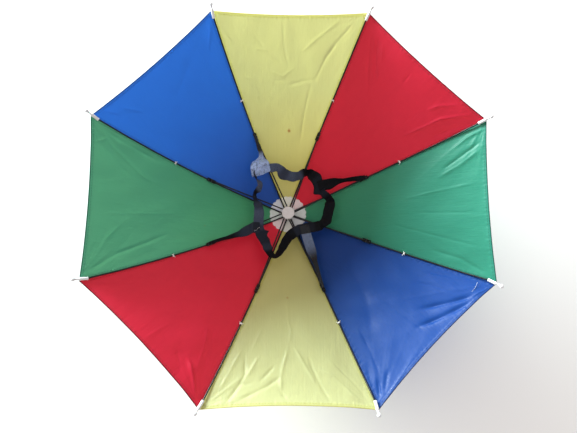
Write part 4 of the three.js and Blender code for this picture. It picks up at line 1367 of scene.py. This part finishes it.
def make_join_stitches(rings):
    """White stitches that slant over a tether, where it is sewn to the band."""
    sewn = np.array(rings[1:14])[:, 2:len(PROFILE_SHARES) - 2]
    rows, columns = sewn.shape[:2]
    low, high = JOIN_LINE
    across = unit(sewn[-1, int(high * columns)] - sewn[0, int(low * columns)])
    normal = unit(np.cross(sewn[-1, 0] - sewn[0, 0], sewn[0, -1] - sewn[0, 0]))
    normal = normal * np.sign(normal[2])
    share = np.linspace(0.06, 0.94, 5)
    places = [sewn[int(t * (rows - 1)), int((low + (high - low) * t) * columns)] for t in share]
    raised = np.array(places) + normal * (2 * STITCH_RADIUS)
    shape = joined(stitches(raised, [across] * len(places), [normal] * len(places)))
    piece_from("join_stitches", shape, WHITE_THREAD)


def make_tether(tether):
    random = np.random.RandomState(TETHERS.index(tether) + 40)
    waves = [(random.uniform(4, 9), random.uniform(0, 6), random.uniform(-1.6, 1.6)) for _ in range(6)]
    elastic = tether.dye == "elastic"
    strap = Strap()
    for share, section in tether_sections(tether):
        strap.go_to(section[0])
        middle_width = 0.5 * (1 + tether.narrow)
        spread = tether.spread + (middle_width - tether.spread) * float(smooth(*tether.gather, share))
        spread += (tether.narrow - middle_width) * float(smooth(0.5, 0.95, share))
        width = TETHER_WIDTH * spread
        amount = tether.crumple * (0.35 + 0.65 * float(smooth(0.75, 0.3, share)))
        near_band = 1 - float(smooth(0, 0.35, share))

        def relief(w, along=strap.length, amount=amount, width=width, near_band=near_band):
            total = 0.0
            for length, phase, skew in waves:
                wave = abs(math.sin((along + skew * w * width / 2) / length * 1.2 + phase))
                total += length / 2.5 * (1 - wave) ** 1.5
            over_corner = tether.rise * float(smooth(-0.8, 0.2, w)) * near_band
            return 0.4 * amount * total + 0.15 * (1 - w * w) + over_corner

        over, beyond = tether.tone
        tone = over if share == 0 else beyond * float(smooth(0.48, 0.2, share))
        strap.add(section, width, TETHER_THICKNESS if elastic else TAPE_THICKNESS, tone, relief)
    piece = strap.piece("strap_" + tether.name, False, ELASTIC if elastic else TAPE,
                        "black_elastic" if elastic else "grey_tape", tether.name)
    if tether.name == SEWN_TETHER:
        make_join_stitches(strap.rings)
    width = max(TETHER_WIDTH, float(np.mean(strap.widths)))


# Threads

TIE_RADIUS = 191  # from the hub to the ties that hold the cloth to the ribs
TIE_THICKNESS = 1.0
TAIL_THICKNESS = 0.8


def make_tie(rib):
    """A few turns of white thread round the rib and through the cloth, with two short tails."""
    random = np.random.RandomState(rib + 70)
    axes = np.array(rib_axes(rib, TIE_RADIUS))
    middle = rib_points(rib, TIE_RADIUS)
    half_drop = (RIB_RADIUS + CLOTH_GAP + WALL) / 2
    turn = np.linspace(0, 1, 25)
    wide = (RIB_RADIUS + 0.55) * np.sin(2 * math.pi * turn)
    high = 0.2 - half_drop + (half_drop + RIB_RADIUS + 0.3) * np.cos(2 * math.pi * turn)
    parts = []
    for shift in (-0.75, 0, 0.75):
        path = middle + np.stack([shift + 0.4 * turn, wide, high], axis=-1) @ axes
        parts.append(thread(path, TIE_THICKNESS / 2))
    t = np.linspace(0, 1, 9)
    for side in (-1, 1):
        out = side * (1.2 + random.uniform(1.6, 2.6) * t)
        back = -1.2 * t + random.uniform(-0.1, 0.1, len(t)) - 1.4 * t * t
        down = RIB_RADIUS + 0.5 - 2.6 * t ** 1.5 + 0.5 * np.sin(3 * t + rib)
        parts.append(thread(middle + np.stack([back, out, down], axis=-1) @ axes, TAIL_THICKNESS / 2))
    piece_from(f"tie_{rib + 1}", joined(parts), WHITE_THREAD)


def lying_thread(x, y, lift, radius):
    """A thread over places on the cloth, lifted off it."""
    return thread(np.stack([x, y, facet_height(x, y) + lift], axis=-1), radius)


def make_thread_loop():
    """A small loop of yellow thread that is left on the hem of the first yellow gore."""
    middle_x, middle_y = place_of(LOOP_PIXEL)
    angle = np.linspace(0.4, 2 * math.pi - 0.2, 30)
    x = middle_x + 3.4 * np.cos(angle)
    y = middle_y + 2.2 * np.sin(angle) + 0.8 * np.cos(2 * angle)
    shape = lying_thread(x, y, 5.2 + 0.6 * np.sin(3 * angle), 0.35)
    piece_from("thread_loop", shape, OCHRE_THREAD)


def make_loose_thread():
    """The white strand of a thread end that lies beside the tip of the eighth rib, and a dark strand beside
    it, which is its painted shadow.
    """
    fine = np.linspace(0, 1, 22)
    for name, material, pixels in (("loose_thread", WHITE_THREAD, WHITE_STRAND),
                                   ("loose_thread_painted_shadow", SHADOW_THREAD, SHADOW_STRAND)):
        places = np.array([place_of(pixel) for pixel in pixels])
        x, y = (np.interp(fine, np.linspace(0, 1, len(pixels)), column) for column in places.T)
        shape = lying_thread(x, y, 3.4 + 1.2 * np.sin(4 * fine), 0.11)
        piece_from(name, shape, material)


# Stage

def make_stage():
    size, drop = FLOOR_SIZE / 2, -FLOOR_DROP
    floor_mesh = bpy.data.meshes.new("floor")
    corners = [(-size, -size, drop), (size, -size, drop), (size, size, drop), (-size, size, drop)]
    floor_mesh.from_pydata(corners, [], [(0, 1, 2, 3)])
    floor = bpy.data.objects.new("floor", floor_mesh)
    bpy.context.scene.collection.objects.link(floor)
    floor_mesh.materials.append(paper_floor())

    world = bpy.data.worlds.new("studio")
    world.use_nodes = True
    background = world.node_tree.nodes["Background"]
    background.inputs["Color"].default_value = ROOM_COLOUR
    background.inputs["Strength"].default_value = ROOM_STRENGTH
    bpy.context.scene.world = world
    add_window()
    view = bpy.context.scene.view_settings
    view.view_transform = "Standard"
    view.look = "None"


def add_window():
    """A wide, low window of cool daylight beyond the hat's upper left."""
    light = bpy.data.lights.new("window", "AREA")
    light.shape = "RECTANGLE"
    light.size, light.size_y = WINDOW_SIZE
    light.energy = WINDOW_POWER
    light.color = WINDOW_COLOUR
    lamp = bpy.data.objects.new("window", light)
    turn, rise = math.radians(WINDOW_TURN), math.radians(WINDOW_RISE)
    place = Vector((math.cos(rise) * math.cos(turn), math.cos(rise) * math.sin(turn), math.sin(rise)))
    lamp.location = place * WINDOW_DISTANCE
    lamp.rotation_euler = (Vector((0, 0, 0.08)) - lamp.location).to_track_quat("-Z", "Y").to_euler()
    bpy.context.scene.collection.objects.link(lamp)


def make_camera():
    camera = bpy.data.cameras.new("camera")
    camera.sensor_fit = "HORIZONTAL"
    camera.sensor_width = 36
    camera.lens = FOCAL_PIXELS / PHOTO_WIDTH * camera.sensor_width
    eye = bpy.data.objects.new("camera", camera)
    turn = AXES.transposed()
    left = (PHOTO_WIDTH / 2 - CENTRE_PIXEL[0]) / FOCAL_PIXELS * CAMERA_DISTANCE
    low = (PHOTO_HEIGHT / 2 - CENTRE_PIXEL[1]) / FOCAL_PIXELS * CAMERA_DISTANCE
    eye.matrix_world = Matrix.Translation(turn @ Vector((left, -low, CAMERA_DISTANCE)) * MM) @ turn.to_4x4()
    bpy.context.scene.collection.objects.link(eye)
    bpy.context.scene.camera = eye


make_camera()
make_stage()
for index in range(RIB_COUNT):
    make_gore(index)
    make_sewing(index)
    make_rib(index)
    make_stretcher(index)
    make_joint(index)
    make_tip(index)
    make_tie(index)
make_hub()
make_rosette()
make_band()
for tether_row in TETHERS:
    make_tether(tether_row)
make_loose_thread()
make_thread_loop()

bpy.context.view_layer.update()
